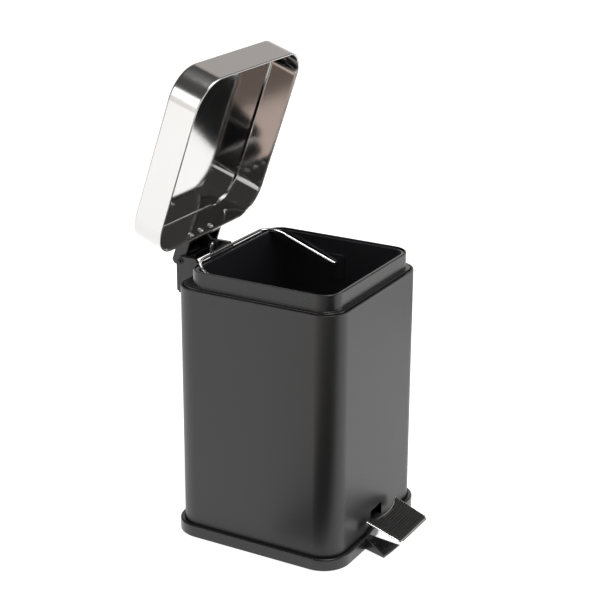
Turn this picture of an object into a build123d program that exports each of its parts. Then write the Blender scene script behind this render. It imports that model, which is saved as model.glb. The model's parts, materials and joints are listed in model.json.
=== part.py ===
"""Square pedal bin: steel shell, plastic base and top ring, lift-out bucket, foot pedal and hinged steel lid.

Millimetres. The origin is the centre of the footprint on the floor, +Z is up, the pedal points to -Y and
the lid's hinge is at +Y. Everything is modelled with the pedal pressed and the lid open.
"""
import os
from math import atan, cos, degrees, radians, sin, tan

from build123d import *

os.makedirs("parts", exist_ok=True)

# ---------------------------------------------------------------- driving sizes
# body
body_width = 180.0
body_depth = 180.0
body_radius = 24.0
body_top = 262.0
shell_wall = 0.8
curl_width = 2.4
curl_height = 1.6
# base
foot_height = 1.0
base_floor = 2.5
base_overhang = 5.0
base_ring_height = 12.5
foot_radius = 7.0
foot_inset = 20.0
foot_pocket = 1.2
# top ring
ring_gap = 0.3
base_edge = 2.0
ring_edge = 0.8
collar_edge = 0.7
ring_skirt_depth = 12.0
ring_flange_rise = 1.0
ring_flange_thickness = 3.0
ring_wall = 3.2
collar_height = 16.5
collar_side_inset = 6.7
collar_front_inset = 7.0
collar_back_inset = 12.6
collar_radius = 19.0
ledge_depth = 3.5
ledge_wall = 1.6
# bucket
bucket_gap = 0.6
bucket_rim_gap = 0.4
bucket_seat_gap = 0.1
bucket_rim = 2.0
bucket_wall = 1.8
bucket_bottom = 44.0
bucket_draft = 1.5
bail_wire = 3.0
bail_drop = 26.4
bail_y = -1.0
bail_corner = 22.0
bail_bend = 2.2
bail_side_gap = 0.2
bail_rest_gap = 0.8
boss_width = 18.0
boss_thickness = 1.2
boss_above = 9.0
boss_below = 18.0
# lid
lid_overhang = 4.0
lid_depth = 33.0
lid_radius = 32.0
lid_edge_radius = 3.0
lid_wall = 0.8
lid_lift = 3.0
lid_hem = 1.6
open_angle = 71.0
# lid hinge
hinge_back = 26.0
hinge_rise = 5.5
pin_radius = 1.5
running_gap = 0.05
fit_gap = 0.02
pin_end = 2.5
lid_screw_radius = 1.3
lid_screw_hole = 1.6
lid_screw_head = 3.2
lid_screw_head_height = 1.9
lid_screw_bite = 4.5
arm_half_width = 29.5
arm_top = 11.5
arm_bottom = 1.5
arm_rear = 8.0
arm_wall = 2.2
arm_lobe = 4.0
cheek_gap = 0.7
cheek_wall = 3.8
cheek_round = 4.6
bracket_plate = 2.7
gusset_drop = 14.0
screw_x = 20.0
screw_radius = 2.0
screw_hole = 2.1
screw_head = 3.6
screw_head_height = 2.0
screw_length = 8.0
nut_radius = 4.0
nut_thickness = 3.0
clip_thickness = 0.9
clip_rim = 1.8
clip_gap = 0.1
bracket_height = 38.0
bracket_drop = 8.0
shelf_height = 4.0
shelf_drop = 27.5
sweep_margin = 1.5
lid_screw_pitch = 18.0
lid_screw_rise = 7.5
# push rod
rod_radius = 1.75
rod_reach = 15.0
slot_clearance = 0.6
slot_wall = 1.5
lug_thickness = 4.0
lug_gap = 0.7
guide_wall = 1.6
guide_flange = 1.6
guide_flange_height = 1.2
guide_length = 7.0
rod_bend = 3.0
rod_hook_end = 3.5
rod_clip_gap = 0.9
rod_clip_height = 1.4
rod_end = 1.2
# pedal lever
pivot_y = -30.0
pivot_z = 19.0
pivot_radius = 2.0
lever_width = 20.0
lever_thickness = 2.0
lever_offset = 5.0
lever_slope = 3.6
lever_front_inset = 6.3
lever_tail = 6.0
ear_wall = 1.5
ear_radius = 5.0
slot_side_gap = 2.0
bracket_side_gap = 1.5
bracket_wall = 2.0
bracket_half = 7.0
bracket_foot = 9.0
rivet_radius = 2.0
rivet_head = 3.4
rivet_head_height = 1.4
washer_gap = 0.25
washer_thickness = 1.0
front_slot = (17.5, 33.0)
rear_slot = (8.5, 35.5)
# tread
tread_inner = 5.2
tread_length = 38.1
tread_half_inner = 32.4
tread_half_outer = 30.6
tread_bow = 6.0
tread_top = 31.9
tread_slope = 20.0
tread_bottom_inner = 19.5
tread_bottom_outer = 15.0
tread_wall = 1.2
tread_corner = 4.0
pad_thickness = 2.0
pad_inset = 2.4
tread_screw_x = 6.0
tread_screw_inset = 15.0
tread_screw_radius = 1.4
tread_screw_hole = 1.5
tread_screw_head = 3.0
tread_screw_head_height = 1.6
tread_screw_gap = 0.3
boss_radius = 3.0
boss_gap = 0.3
# anti-tip foot
toe_half_root = 31.0
toe_half_tip = 38.5
toe_reach = 30.6
toe_height = 15.0
toe_tip_height = 2.5

# ---------------------------------------------------------------- places worked out from them
base_bottom = foot_height
shell_bottom = base_bottom + base_floor
base_top = base_bottom + base_ring_height
base_width = body_width + 2 * base_overhang
base_depth = body_depth + 2 * base_overhang
base_radius = body_radius + base_overhang
half_depth = body_depth / 2
ring_top = body_top + ring_flange_rise
collar_top = ring_top + collar_height
ledge_z = collar_top - ledge_depth
collar_width = body_width - 2 * collar_side_inset
collar_depth = body_depth - collar_front_inset - collar_back_inset
collar_y = (collar_front_inset - collar_back_inset) / 2
lid_width = body_width + 2 * lid_overhang
lid_length = body_depth + 2 * lid_overhang
lid_rim = body_top + lid_lift
hinge_y = half_depth + hinge_back
hinge_z = body_top + hinge_rise
rod_y = hinge_y - rod_reach
half_swing = open_angle / 2
hook_rise = rod_reach * tan(radians(half_swing))
hook_orbit = rod_reach / cos(radians(half_swing))
hook_z = hinge_z + hook_rise
rod_travel = 2 * hook_rise
lever_reach = rod_y - pivot_y
lever_rise = lever_reach * sin(radians(lever_slope))
pedal_swing = lever_slope + degrees(atan((rod_travel - lever_rise) / lever_reach))
hinge_axis = Axis((0, hinge_y, hinge_z), (1, 0, 0))
pivot_axis = Axis((0, pivot_y, pivot_z), (1, 0, 0))
tread_inner_y = -half_depth - tread_inner
tread_outer_y = tread_inner_y - tread_length
tread_screw_y = tread_outer_y + tread_screw_inset
bracket_inner = lever_width / 2 + bracket_side_gap
rivet_x = bracket_inner + bracket_wall + bracket_foot / 2
lever_rod_z = pivot_z + lever_reach * sin(radians(lever_slope)) + lever_offset * cos(radians(lever_slope))

print(f"hinge y {hinge_y:.2f} z {hinge_z:.2f}, rod y {rod_y:.2f}, travel {rod_travel:.3f} mm")
print(f"pedal swing {pedal_swing:.3f} deg, ratio {pedal_swing / open_angle:.6f}")
print(f"rod ratio {rod_travel / 1000 / radians(open_angle):.7f} m/rad")


def save(piece, name):
    """Label a finished piece and write it to its own file."""
    piece.part.label = name
    export_step(piece.part, f"parts/{name}.step")


# ---------------------------------------------------------------- base tray with its anti-tip toe
toe_root_y = -base_depth / 2 + base_overhang
toe_tip_y = -half_depth - toe_reach
with BuildPart() as base_tray:
    with BuildSketch(Plane.XY.offset(base_bottom)):
        RectangleRounded(base_width, base_depth, base_radius)
    extrude(amount=base_ring_height)
    fillet(base_tray.faces().sort_by(Axis.Z)[-1].outer_wire().edges(), radius=base_edge)
    with BuildSketch(Plane.XY.offset(shell_bottom)):
        RectangleRounded(body_width + 2 * ring_gap, body_depth + 2 * ring_gap, body_radius + ring_gap)
    extrude(amount=base_ring_height, mode=Mode.SUBTRACT)
    # sloping toe under the pedal
    with BuildSketch(Plane.XY.offset(base_bottom)):
        with BuildLine():
            root_left = (-toe_half_root, toe_root_y)
            root_right = (toe_half_root, toe_root_y)
            tip_left = (-toe_half_tip, toe_tip_y + 2)
            tip_right = (toe_half_tip, toe_tip_y + 2)
            Line(root_right, root_left)
            Line(root_left, tip_left)
            ThreePointArc(tip_left, (0, toe_tip_y), tip_right)
            Line(tip_right, root_right)
        make_face()
    extrude(amount=toe_height - base_bottom)
    with BuildSketch(Plane.YZ.offset(-toe_half_tip - 1)):
        Polygon(
            (toe_tip_y - 1, toe_tip_height),
            (toe_tip_y + 1, toe_tip_height),
            (-base_depth / 2 - 1, toe_height - 1.5),
            (-base_depth / 2 - 1, toe_height + 1),
            (toe_tip_y - 1, toe_height + 1),
            align=None,
        )
    extrude(amount=2 * toe_half_tip + 2, mode=Mode.SUBTRACT)
    # the toe stops at the shell's front face
    with BuildSketch(Plane.XY.offset(base_top)):
        with Locations((0, -base_depth / 2 + 1)):
            Rectangle(4 * toe_half_root, 2 * (base_overhang - ring_gap) + 2)
    extrude(amount=toe_height, mode=Mode.SUBTRACT)
    # notch for the lever at the back
    with BuildSketch(Plane.XY.offset(rear_slot[0])):
        with Locations((0, base_depth / 2)):
            Rectangle(lever_width + 2 * slot_side_gap, 4 * base_overhang)
    extrude(amount=base_top, mode=Mode.SUBTRACT)
    # pockets for the rubber feet
    foot_x = base_width / 2 - foot_inset
    foot_y = base_depth / 2 - foot_inset
    with BuildSketch(Plane.XY.offset(base_bottom)):
        with GridLocations(2 * foot_x, 2 * foot_y, 2, 2):
            Circle(foot_radius + ring_gap)
    extrude(amount=foot_pocket, mode=Mode.SUBTRACT)
    # holes for the pivot bracket's rivets
    with BuildSketch(Plane.XY.offset(base_bottom)):
        with Locations((-rivet_x, pivot_y), (rivet_x, pivot_y)):
            Circle(rivet_radius + fit_gap)
    extrude(amount=base_floor, mode=Mode.SUBTRACT)
save(base_tray, "base_tray")

with BuildPart() as rubber_feet:
    with BuildSketch(Plane.XY):
        with GridLocations(2 * foot_x, 2 * foot_y, 2, 2):
            Circle(foot_radius)
    extrude(amount=base_bottom + foot_pocket)
    chamfer(rubber_feet.faces().group_by(Axis.Z)[0].edges(), length=0.5)
save(rubber_feet, "rubber_feet")

# ---------------------------------------------------------------- steel shell
slot_width = lever_width + 2 * slot_side_gap
plate_top = body_top - bracket_drop
screw_rows = (plate_top - 8.0, plate_top - bracket_height + 7.0)
with BuildPart() as body_shell:
    with BuildSketch(Plane.XY.offset(shell_bottom)):
        RectangleRounded(body_width, body_depth, body_radius)
    extrude(amount=body_top - shell_bottom)
    fillet(body_shell.faces().sort_by(Axis.Z)[-1].edges(), radius=curl_height / 2)
    with BuildSketch(Plane.XY.offset(shell_bottom)):
        RectangleRounded(body_width - 2 * shell_wall, body_depth - 2 * shell_wall, body_radius - shell_wall)
    extrude(amount=body_top - curl_height - shell_bottom, mode=Mode.SUBTRACT)
    with BuildSketch(Plane.XY.offset(body_top - 2 * curl_height)):
        RectangleRounded(body_width - 2 * curl_width, body_depth - 2 * curl_width, body_radius - curl_width)
    extrude(amount=3 * curl_height, mode=Mode.SUBTRACT)
    for side, slot in ((-1, front_slot), (1, rear_slot)):
        with BuildSketch(Plane.XY.offset(slot[0])):
            with Locations((0, side * half_depth)):
                Rectangle(slot_width, 6 * shell_wall)
        extrude(amount=slot[1] - slot[0], mode=Mode.SUBTRACT)
    for row in screw_rows:
        with BuildSketch(Plane.XZ.offset(-half_depth - 1)):
            with Locations((-screw_x, row), (screw_x, row)):
                Circle(screw_hole)
        extrude(amount=4, mode=Mode.SUBTRACT)
save(body_shell, "body_shell")

# ---------------------------------------------------------------- top ring and its collar
flange_inset = curl_width + ring_gap
skirt_inset = flange_inset + ring_wall / 2


def inset_box(width, depth, radius, inset):
    """A rounded rectangle drawn in on every side by an inset."""
    with BuildSketch() as outline:
        RectangleRounded(width - 2 * inset, depth - 2 * inset, radius - inset)
    return outline.sketch


with BuildPart() as top_ring:
    with BuildSketch(Plane.XY.offset(body_top - ring_skirt_depth)):
        add(inset_box(body_width, body_depth, body_radius, flange_inset))
    extrude(amount=ring_top - body_top + ring_skirt_depth)
    fillet(top_ring.faces().sort_by(Axis.Z)[-1].edges(), radius=ring_edge)
    with BuildSketch(Plane.XY.offset(body_top - ring_skirt_depth)):
        add(inset_box(body_width, body_depth, body_radius, skirt_inset))
    skirt_hollow = ring_skirt_depth + ring_flange_rise - ring_flange_thickness
    extrude(amount=skirt_hollow, mode=Mode.SUBTRACT)
    with BuildSketch(Plane.XY.offset(ring_top)):
        with Locations((0, collar_y)):
            RectangleRounded(collar_width, collar_depth, collar_radius)
    extrude(amount=collar_height)
    fillet(top_ring.faces().sort_by(Axis.Z)[-1].edges(), radius=collar_edge)
    with BuildSketch(Plane.XY.offset(ring_top - ring_flange_thickness)):
        with Locations((0, collar_y)):
            add(inset_box(collar_width, collar_depth, collar_radius, ring_wall))
    extrude(amount=2 * collar_height, mode=Mode.SUBTRACT)
    with BuildSketch(Plane.XY.offset(ledge_z)):
        with Locations((0, collar_y)):
            add(inset_box(collar_width, collar_depth, collar_radius, ledge_wall))
    extrude(amount=2 * ledge_depth, mode=Mode.SUBTRACT)
save(top_ring, "top_ring")

# ---------------------------------------------------------------- lift-out bucket
bucket_inset = ring_wall + bucket_gap
bucket_width = collar_width - 2 * bucket_inset
bucket_depth = collar_depth - 2 * bucket_inset
bucket_radius = collar_radius - bucket_inset
rim_inset = ledge_wall + bucket_rim_gap
rim_z = ledge_z + bucket_seat_gap
bucket_hollow = rim_z + bucket_rim - bucket_bottom - bucket_wall
bail_z = collar_top - bail_drop
boss_x = bucket_width / 2 - bucket_wall - tan(radians(bucket_draft)) * (rim_z - bail_z) - boss_thickness
with BuildPart() as inner_bucket:
    with BuildSketch(Plane.XY.offset(rim_z)):
        with Locations((0, collar_y)):
            add(inset_box(collar_width, collar_depth, collar_radius, rim_inset))
    extrude(amount=bucket_rim)
    fillet(inner_bucket.faces().sort_by(Axis.Z)[-1].edges(), radius=ring_edge)
    with BuildSketch(Plane.XY.offset(rim_z)):
        with Locations((0, collar_y)):
            RectangleRounded(bucket_width, bucket_depth, bucket_radius)
    extrude(amount=-(rim_z - bucket_bottom), taper=bucket_draft)
    with BuildSketch(Plane.XY.offset(rim_z + bucket_rim)):
        with Locations((0, collar_y)):
            add(inset_box(bucket_width, bucket_depth, bucket_radius, bucket_wall))
    extrude(amount=-bucket_hollow, taper=bucket_draft, mode=Mode.SUBTRACT)
    # pads on the side walls that carry the bail
    for side in (-1, 1):
        with BuildSketch(Plane.YZ.offset(side * boss_x)):
            with Locations((bail_y, bail_z + (boss_above - boss_below) / 2)):
                RectangleRounded(boss_width, boss_above + boss_below, 3)
        extrude(amount=side * (boss_thickness + bucket_wall / 2))
        with BuildSketch(Plane.YZ.offset(side * (boss_x - 1))):
            with Locations((bail_y, bail_z)):
                Circle(bail_wire / 2 + running_gap)
        extrude(amount=side * 12, mode=Mode.SUBTRACT)
save(inner_bucket, "inner_bucket")

# bail: a wire bow lying back on the collar
bow_x = boss_x - bail_bend - bail_side_gap
bow_end_y = collar_y + collar_depth / 2 - ledge_wall / 2
bow_end_z = collar_top + bail_wire / 2 + bail_rest_gap
bow_run = ((bow_end_y - bail_y) ** 2 + (bow_end_z - bail_z) ** 2) ** 0.5
bow_lean = Vector(0, bow_end_y - bail_y, bow_end_z - bail_z) / bow_run
bow_plane = Plane(origin=(0, bail_y, bail_z), x_dir=(1, 0, 0), z_dir=Vector(1, 0, 0).cross(bow_lean))
bow_tip = boss_x + boss_thickness + bucket_wall - 0.3
with BuildPart() as bail_handle:
    with BuildLine(bow_plane) as bow_line:
        FilletPolyline(
            (-bow_tip, 0),
            (-bow_x, 0),
            (-bow_x, bow_run),
            (bow_x, bow_run),
            (bow_x, 0),
            (bow_tip, 0),
            radius=(bail_bend, bail_corner, bail_corner, bail_bend),
        )
    with BuildSketch(Plane(origin=bow_line.line @ 0, z_dir=bow_line.line % 0)):
        Circle(bail_wire / 2)
    sweep()
save(bail_handle, "bail_handle")

# ---------------------------------------------------------------- lid, made closed and then turned open
lid_skirt_y = lid_length / 2
with BuildPart() as lid_cavity:
    with BuildSketch(Plane.XY.offset(lid_rim + 2 * lid_hem)):
        RectangleRounded(lid_width - 2 * lid_wall, lid_length - 2 * lid_wall, lid_radius - lid_wall)
    extrude(amount=lid_depth - 2 * lid_hem - lid_wall)
    fillet(lid_cavity.faces().sort_by(Axis.Z)[-1].edges(), radius=lid_edge_radius - lid_wall)
    # the hemmed rim is twice as thick as the wall above it
    with BuildSketch(Plane.XY.offset(lid_rim)):
        RectangleRounded(lid_width - 2 * lid_hem, lid_length - 2 * lid_hem, lid_radius - lid_hem)
    extrude(amount=2 * lid_hem)

with BuildPart() as lid_shell:
    with BuildSketch(Plane.XY.offset(lid_rim)):
        RectangleRounded(lid_width, lid_length, lid_radius)
    extrude(amount=lid_depth)
    fillet(lid_shell.faces().sort_by(Axis.Z)[-1].edges(), radius=lid_edge_radius)
    add(lid_cavity.part, mode=Mode.SUBTRACT)
    for step in (-1, 0, 1):
        with BuildSketch(Plane.XZ.offset(-lid_skirt_y - 1)):
            with Locations((step * lid_screw_pitch, lid_rim + lid_screw_rise)):
                Circle(lid_screw_hole)
        extrude(amount=3, mode=Mode.SUBTRACT)
lid_shell.part = lid_shell.part.rotate(hinge_axis, -open_angle)
save(lid_shell, "lid_shell")

# hinge arm: a hollow block behind the lid, with a lug for the push rod
arm_front_y = lid_skirt_y
arm_back_y = hinge_y + arm_rear
lug_x = rod_radius + lug_gap
slot_half = rod_radius + slot_clearance
slot_inner = rod_reach - slot_clearance
slot_outer = hook_orbit + slot_clearance
lug_dir = Vector(-cos(radians(half_swing)), -sin(radians(half_swing)))
hinge_yz = Vector(hinge_y, hinge_z)
slot_mid = hinge_yz + lug_dir * ((slot_inner + slot_outer) / 2)
with BuildPart() as lid_arm:
    with BuildSketch(Plane.YZ.offset(-arm_half_width)):
        Polygon(
            (arm_front_y, hinge_z - arm_bottom),
            (arm_back_y, hinge_z - arm_bottom),
            (arm_back_y, hinge_z + arm_top - 3),
            (arm_back_y - 3, hinge_z + arm_top),
            (arm_front_y, hinge_z + arm_top),
            align=None,
        )
        with Locations((hinge_y, hinge_z)):
            Circle(arm_lobe)
    extrude(amount=2 * arm_half_width)
    with BuildSketch(Plane.YZ.offset(-arm_half_width + arm_wall)):
        Polygon(
            (arm_front_y + arm_wall, hinge_z - 2 * arm_lobe),
            (arm_back_y - arm_wall, hinge_z - 2 * arm_lobe),
            (arm_back_y - arm_wall, hinge_z + arm_top - arm_wall - 1.5),
            (arm_back_y - arm_wall - 1.5, hinge_z + arm_top - arm_wall),
            (arm_front_y + arm_wall, hinge_z + arm_top - arm_wall),
            align=None,
        )
    extrude(amount=2 * (arm_half_width - arm_wall), mode=Mode.SUBTRACT)
    # lug with the slot that the rod's hook rides in
    with BuildSketch(Plane.YZ.offset(lug_x)):
        with BuildLine():
            tip = hinge_yz + lug_dir * slot_outer
            side = Vector(-lug_dir.Y, lug_dir.X) * (slot_half + slot_wall)
            root_z = hinge_z + arm_top - arm_wall / 2
            Line((arm_front_y + arm_wall / 2, root_z), (arm_front_y + arm_wall / 2, hinge_z))
            Line((arm_front_y + arm_wall / 2, hinge_z), tuple(tip - side)[:2])
            ThreePointArc(
                tuple(tip - side)[:2],
                tuple(tip + lug_dir * (slot_half + slot_wall))[:2],
                tuple(tip + side)[:2],
            )
            Line(tuple(tip + side)[:2], tuple(tip + side - lug_dir * 6)[:2])
            Line(tuple(tip + side - lug_dir * 6)[:2], (hinge_y - 5, hinge_z - 1))
            Line((hinge_y - 5, hinge_z - 1), (hinge_y - 5, root_z))
            Line((hinge_y - 5, root_z), (arm_front_y + arm_wall / 2, root_z))
        make_face()
    extrude(amount=lug_thickness)
    with BuildSketch(Plane.YZ.offset(lug_x - 1)):
        with Locations(Location((slot_mid.X, slot_mid.Y), half_swing)):
            SlotCenterToCenter(slot_outer - slot_inner, 2 * slot_half)
    extrude(amount=lug_thickness + 2, mode=Mode.SUBTRACT)
    with BuildSketch(Plane.YZ.offset(-arm_half_width - 1)):
        with Locations((hinge_y, hinge_z)):
            Circle(pin_radius + running_gap)
    extrude(amount=2 * arm_half_width + 2, mode=Mode.SUBTRACT)
    for step in (-1, 0, 1):
        with BuildSketch(Plane.XZ.offset(-arm_front_y - 10)):
            with Locations((step * lid_screw_pitch, lid_rim + lid_screw_rise)):
                Circle(lid_screw_radius)
        extrude(amount=12, mode=Mode.SUBTRACT)
lid_arm.part = lid_arm.part.rotate(hinge_axis, -open_angle)
save(lid_arm, "lid_arm")

with BuildPart() as lid_screws:
    for step in (-1, 0, 1):
        with BuildSketch(Plane.XZ.offset(-lid_skirt_y + lid_wall)):
            with Locations((step * lid_screw_pitch, lid_rim + lid_screw_rise)):
                Circle(lid_screw_head)
        extrude(amount=lid_screw_head_height)
    fillet(lid_screws.faces().group_by(Axis.Y)[0].edges(), radius=lid_screw_head / 2)
    for step in (-1, 0, 1):
        with BuildSketch(Plane.XZ.offset(-lid_skirt_y + lid_wall)):
            with Locations((step * lid_screw_pitch, lid_rim + lid_screw_rise)):
                Circle(lid_screw_radius)
        extrude(amount=-lid_screw_bite)
lid_screws.part = lid_screws.part.rotate(hinge_axis, -open_angle)
save(lid_screws, "lid_screws")

# ---------------------------------------------------------------- hinge bracket behind the body
cheek_inner = arm_half_width + cheek_gap
cheek_outer = cheek_inner + cheek_wall
cheek_back = hinge_y + cheek_round
sweep_radius = hinge_y - lid_skirt_y - sweep_margin
plate_face = half_depth
plate_mid = plate_face + bracket_plate / 2
shelf_top = body_top - shelf_drop + shelf_height / 2
plate_bottom = plate_top - bracket_height
with BuildPart() as hinge_bracket:
    with BuildSketch(Plane.XZ.offset(-plate_face)):
        with Locations((0, (plate_top + plate_bottom) / 2)):
            RectangleRounded(2 * cheek_outer, bracket_height, 3)
    extrude(amount=-bracket_plate)
    for side in (-1, 1):
        with BuildSketch(Plane.YZ.offset(side * cheek_inner)):
            with BuildLine():
                front = hinge_y - sweep_radius
                top = hinge_z + cheek_round
                lead = front + 3.5
                Line((plate_mid, plate_top - 4), (front, body_top - 1))
                Line((front, body_top - 1), (front, hinge_z))
                Line((front, hinge_z), (lead, top))
                Line((lead, top), (hinge_y, top))
                RadiusArc((hinge_y, top), (cheek_back, hinge_z), cheek_round)
                Line((cheek_back, hinge_z), (cheek_back, shelf_top))
                Line((cheek_back, shelf_top), (plate_mid, shelf_top - gusset_drop))
                Line((plate_mid, shelf_top - gusset_drop), (plate_mid, plate_top - 4))
            make_face()
        extrude(amount=side * cheek_wall)
    with BuildSketch(Plane.XY.offset(shelf_top - shelf_height)):
        with Locations((0, (plate_mid + cheek_back) / 2)):
            Rectangle(2 * cheek_inner + 1, cheek_back - plate_mid)
    extrude(amount=shelf_height)
    with BuildSketch(Plane.XY.offset(shelf_top - 2 * shelf_height)):
        with Locations((0, rod_y)):
            Circle(rod_radius + running_gap + guide_wall)
    extrude(amount=3 * shelf_height, mode=Mode.SUBTRACT)
    with BuildSketch(Plane.YZ.offset(-cheek_outer - 1)):
        with Locations((hinge_y, hinge_z)):
            Circle(pin_radius + fit_gap)
    extrude(amount=2 * cheek_outer + 2, mode=Mode.SUBTRACT)
    for row in screw_rows:
        with BuildSketch(Plane.XZ.offset(-plate_face + 1)):
            with Locations((-screw_x, row), (screw_x, row)):
                Circle(screw_hole)
        extrude(amount=-bracket_plate - 2, mode=Mode.SUBTRACT)
save(hinge_bracket, "hinge_bracket")

with BuildPart() as hinge_pin:
    with BuildSketch(Plane.YZ.offset(-cheek_outer - pin_end)):
        with Locations((hinge_y, hinge_z)):
            Circle(pin_radius)
    extrude(amount=2 * cheek_outer + 2 * pin_end)
    chamfer(hinge_pin.faces().sort_by(Axis.X)[-1].edges(), length=0.4)
    chamfer(hinge_pin.faces().sort_by(Axis.X)[0].edges(), length=0.4)
save(hinge_pin, "hinge_pin")

with BuildPart() as hinge_clips:
    for side in (-1, 1):
        with BuildSketch(Plane.YZ.offset(side * (cheek_outer + clip_gap))):
            with Locations((hinge_y, hinge_z)):
                Circle(pin_radius + clip_rim)
                Circle(pin_radius + fit_gap, mode=Mode.SUBTRACT)
        extrude(amount=side * clip_thickness)
save(hinge_clips, "hinge_clips")

with BuildPart() as bracket_screws:
    for row in screw_rows:
        with BuildSketch(Plane.XZ.offset(-plate_face - bracket_plate)):
            with Locations((-screw_x, row), (screw_x, row)):
                Circle(screw_head)
        extrude(amount=-screw_head_height)
    fillet(bracket_screws.faces().group_by(Axis.Y)[-1].edges(), radius=1.2)
    for row in screw_rows:
        with BuildSketch(Plane.XZ.offset(-plate_face - bracket_plate)):
            with Locations((-screw_x, row), (screw_x, row)):
                Circle(screw_radius)
        extrude(amount=screw_length)
save(bracket_screws, "bracket_screws")

with BuildPart() as bracket_nuts:
    for row in screw_rows:
        with BuildSketch(Plane.XZ.offset(-half_depth + shell_wall)):
            with Locations((-screw_x, row), (screw_x, row)):
                RegularPolygon(nut_radius, 6)
                Circle(screw_radius + fit_gap, mode=Mode.SUBTRACT)
        extrude(amount=nut_thickness)
save(bracket_nuts, "bracket_nuts")

# ---------------------------------------------------------------- push rod, guide and clips
guide_radius = rod_radius + running_gap + guide_wall
guide_room = rod_y - half_depth - bracket_plate - running_gap
with BuildPart() as rod_guide:
    with BuildSketch(Plane.XY.offset(shelf_top)):
        with Locations((0, rod_y)):
            Circle(min(guide_radius + guide_flange, guide_room))
    extrude(amount=guide_flange_height)
    with BuildSketch(Plane.XY.offset(shelf_top + guide_flange_height)):
        with Locations((0, rod_y)):
            Circle(guide_radius - fit_gap)
    extrude(amount=-guide_length)
    with BuildSketch(Plane.XY.offset(shelf_top + 2 * guide_flange_height)):
        with Locations((0, rod_y)):
            Circle(rod_radius + running_gap)
    extrude(amount=-2 * guide_length, mode=Mode.SUBTRACT)
save(rod_guide, "rod_guide")

hook_end = lug_x + lug_thickness + rod_hook_end
clip_offset = lever_thickness / 2 + rod_clip_gap
rod_foot = lever_rod_z - clip_offset - rod_clip_height - rod_end
with BuildPart() as push_rod:
    with BuildLine(Plane.XZ.offset(-rod_y)) as rod_line:
        FilletPolyline((0, rod_foot), (0, hook_z), (hook_end, hook_z), radius=rod_bend)
    with BuildSketch(Plane.XY.offset(rod_foot)):
        with Locations((0, rod_y)):
            Circle(rod_radius)
    sweep(path=rod_line.line)
save(push_rod, "push_rod")

with BuildPart() as rod_clips:
    for low in (lever_rod_z + clip_offset, lever_rod_z - clip_offset - rod_clip_height):
        with BuildSketch(Plane.XY.offset(low)):
            with Locations((0, rod_y)):
                Circle(rod_radius + clip_rim)
                Circle(rod_radius + fit_gap, mode=Mode.SUBTRACT)
        extrude(amount=rod_clip_height)
save(rod_clips, "rod_clips")

# ---------------------------------------------------------------- pedal lever, made level and then tilted
lever_z = pivot_z + lever_offset
lever_front_y = tread_outer_y + lever_front_inset
lever_back_y = rod_y + lever_tail
with BuildPart() as pedal_lever:
    with BuildSketch(Plane.XY.offset(lever_z - lever_thickness / 2)):
        with Locations((0, (lever_front_y + lever_back_y) / 2)):
            RectangleRounded(lever_width, lever_back_y - lever_front_y, 4)
    extrude(amount=lever_thickness)
    for side in (-1, 1):
        with BuildSketch(Plane.YZ.offset(side * (lever_width / 2 - ear_wall))):
            with Locations((pivot_y, pivot_z)):
                Circle(ear_radius)
            with Locations((pivot_y, pivot_z + lever_offset / 2)):
                Rectangle(2 * ear_radius, lever_offset)
        extrude(amount=side * ear_wall)
    with BuildSketch(Plane.YZ.offset(-lever_width)):
        with Locations((pivot_y, pivot_z)):
            Circle(pivot_radius + running_gap)
    extrude(amount=2 * lever_width, mode=Mode.SUBTRACT)
    with BuildSketch(Plane.XY.offset(lever_z - lever_thickness)):
        with Locations((0, pivot_y + lever_reach)):
            Circle(rod_radius + 0.75)
        with Locations((-tread_screw_x, tread_screw_y), (tread_screw_x, tread_screw_y)):
            Circle(2.0)
    extrude(amount=2 * lever_thickness, mode=Mode.SUBTRACT)
pedal_lever.part = pedal_lever.part.rotate(pivot_axis, lever_slope)
save(pedal_lever, "pedal_lever")

# ---------------------------------------------------------------- tread: chrome cover, rubber pad, screws
def tread_outline(inset):
    """The tread's outline as a face on the floor plane, drawn in by an inset."""
    inner = tread_half_inner - inset
    outer = tread_half_outer - inset
    back = tread_inner_y - inset
    front = tread_outer_y + inset
    corner = tread_corner - inset / 2
    with BuildSketch() as outline:
        with BuildLine():
            ThreePointArc((-inner, back), (0, back - tread_bow), (inner, back))
            Line((inner, back), (outer, front + corner))
            RadiusArc((outer, front + corner), (outer - corner, front), corner)
            Line((outer - corner, front), (-outer + corner, front))
            RadiusArc((-outer + corner, front), (-outer, front + corner), corner)
            Line((-outer, front + corner), (-inner, back))
        make_face()
    return outline.sketch


def tread_top_at(y):
    """Height of the cover's sloping top face at a place along the tread."""
    return tread_top + (y - tread_inner_y) * tan(radians(tread_slope))


def tread_wedge(inset, drop, low_inner, low_outer):
    """The tread's outline raised to its sloping top face, lowered by a drop, and cut off below a line."""
    with BuildPart() as wedge:
        with BuildSketch(Plane.XY):
            add(tread_outline(inset))
        extrude(amount=2 * tread_top)
        with BuildSketch(Plane.YZ.offset(-2 * tread_half_inner)):
            Polygon(
                (tread_inner_y + 1, low_inner),
                (tread_inner_y + 1, tread_top_at(tread_inner_y + 1) - drop),
                (tread_outer_y - 1, tread_top_at(tread_outer_y - 1) - drop),
                (tread_outer_y - 1, low_outer),
                align=None,
            )
        extrude(amount=4 * tread_half_inner, mode=Mode.INTERSECT)
    return wedge.part


tread_body = tread_wedge(0, 0, tread_bottom_inner, tread_bottom_outer)
tread_hollow = tread_wedge(tread_wall, tread_wall, 0, 0)
pad_low = (tread_top_at(tread_inner_y + 1), tread_top_at(tread_outer_y - 1))
pad_body = tread_wedge(pad_inset, -pad_thickness, *pad_low)

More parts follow.
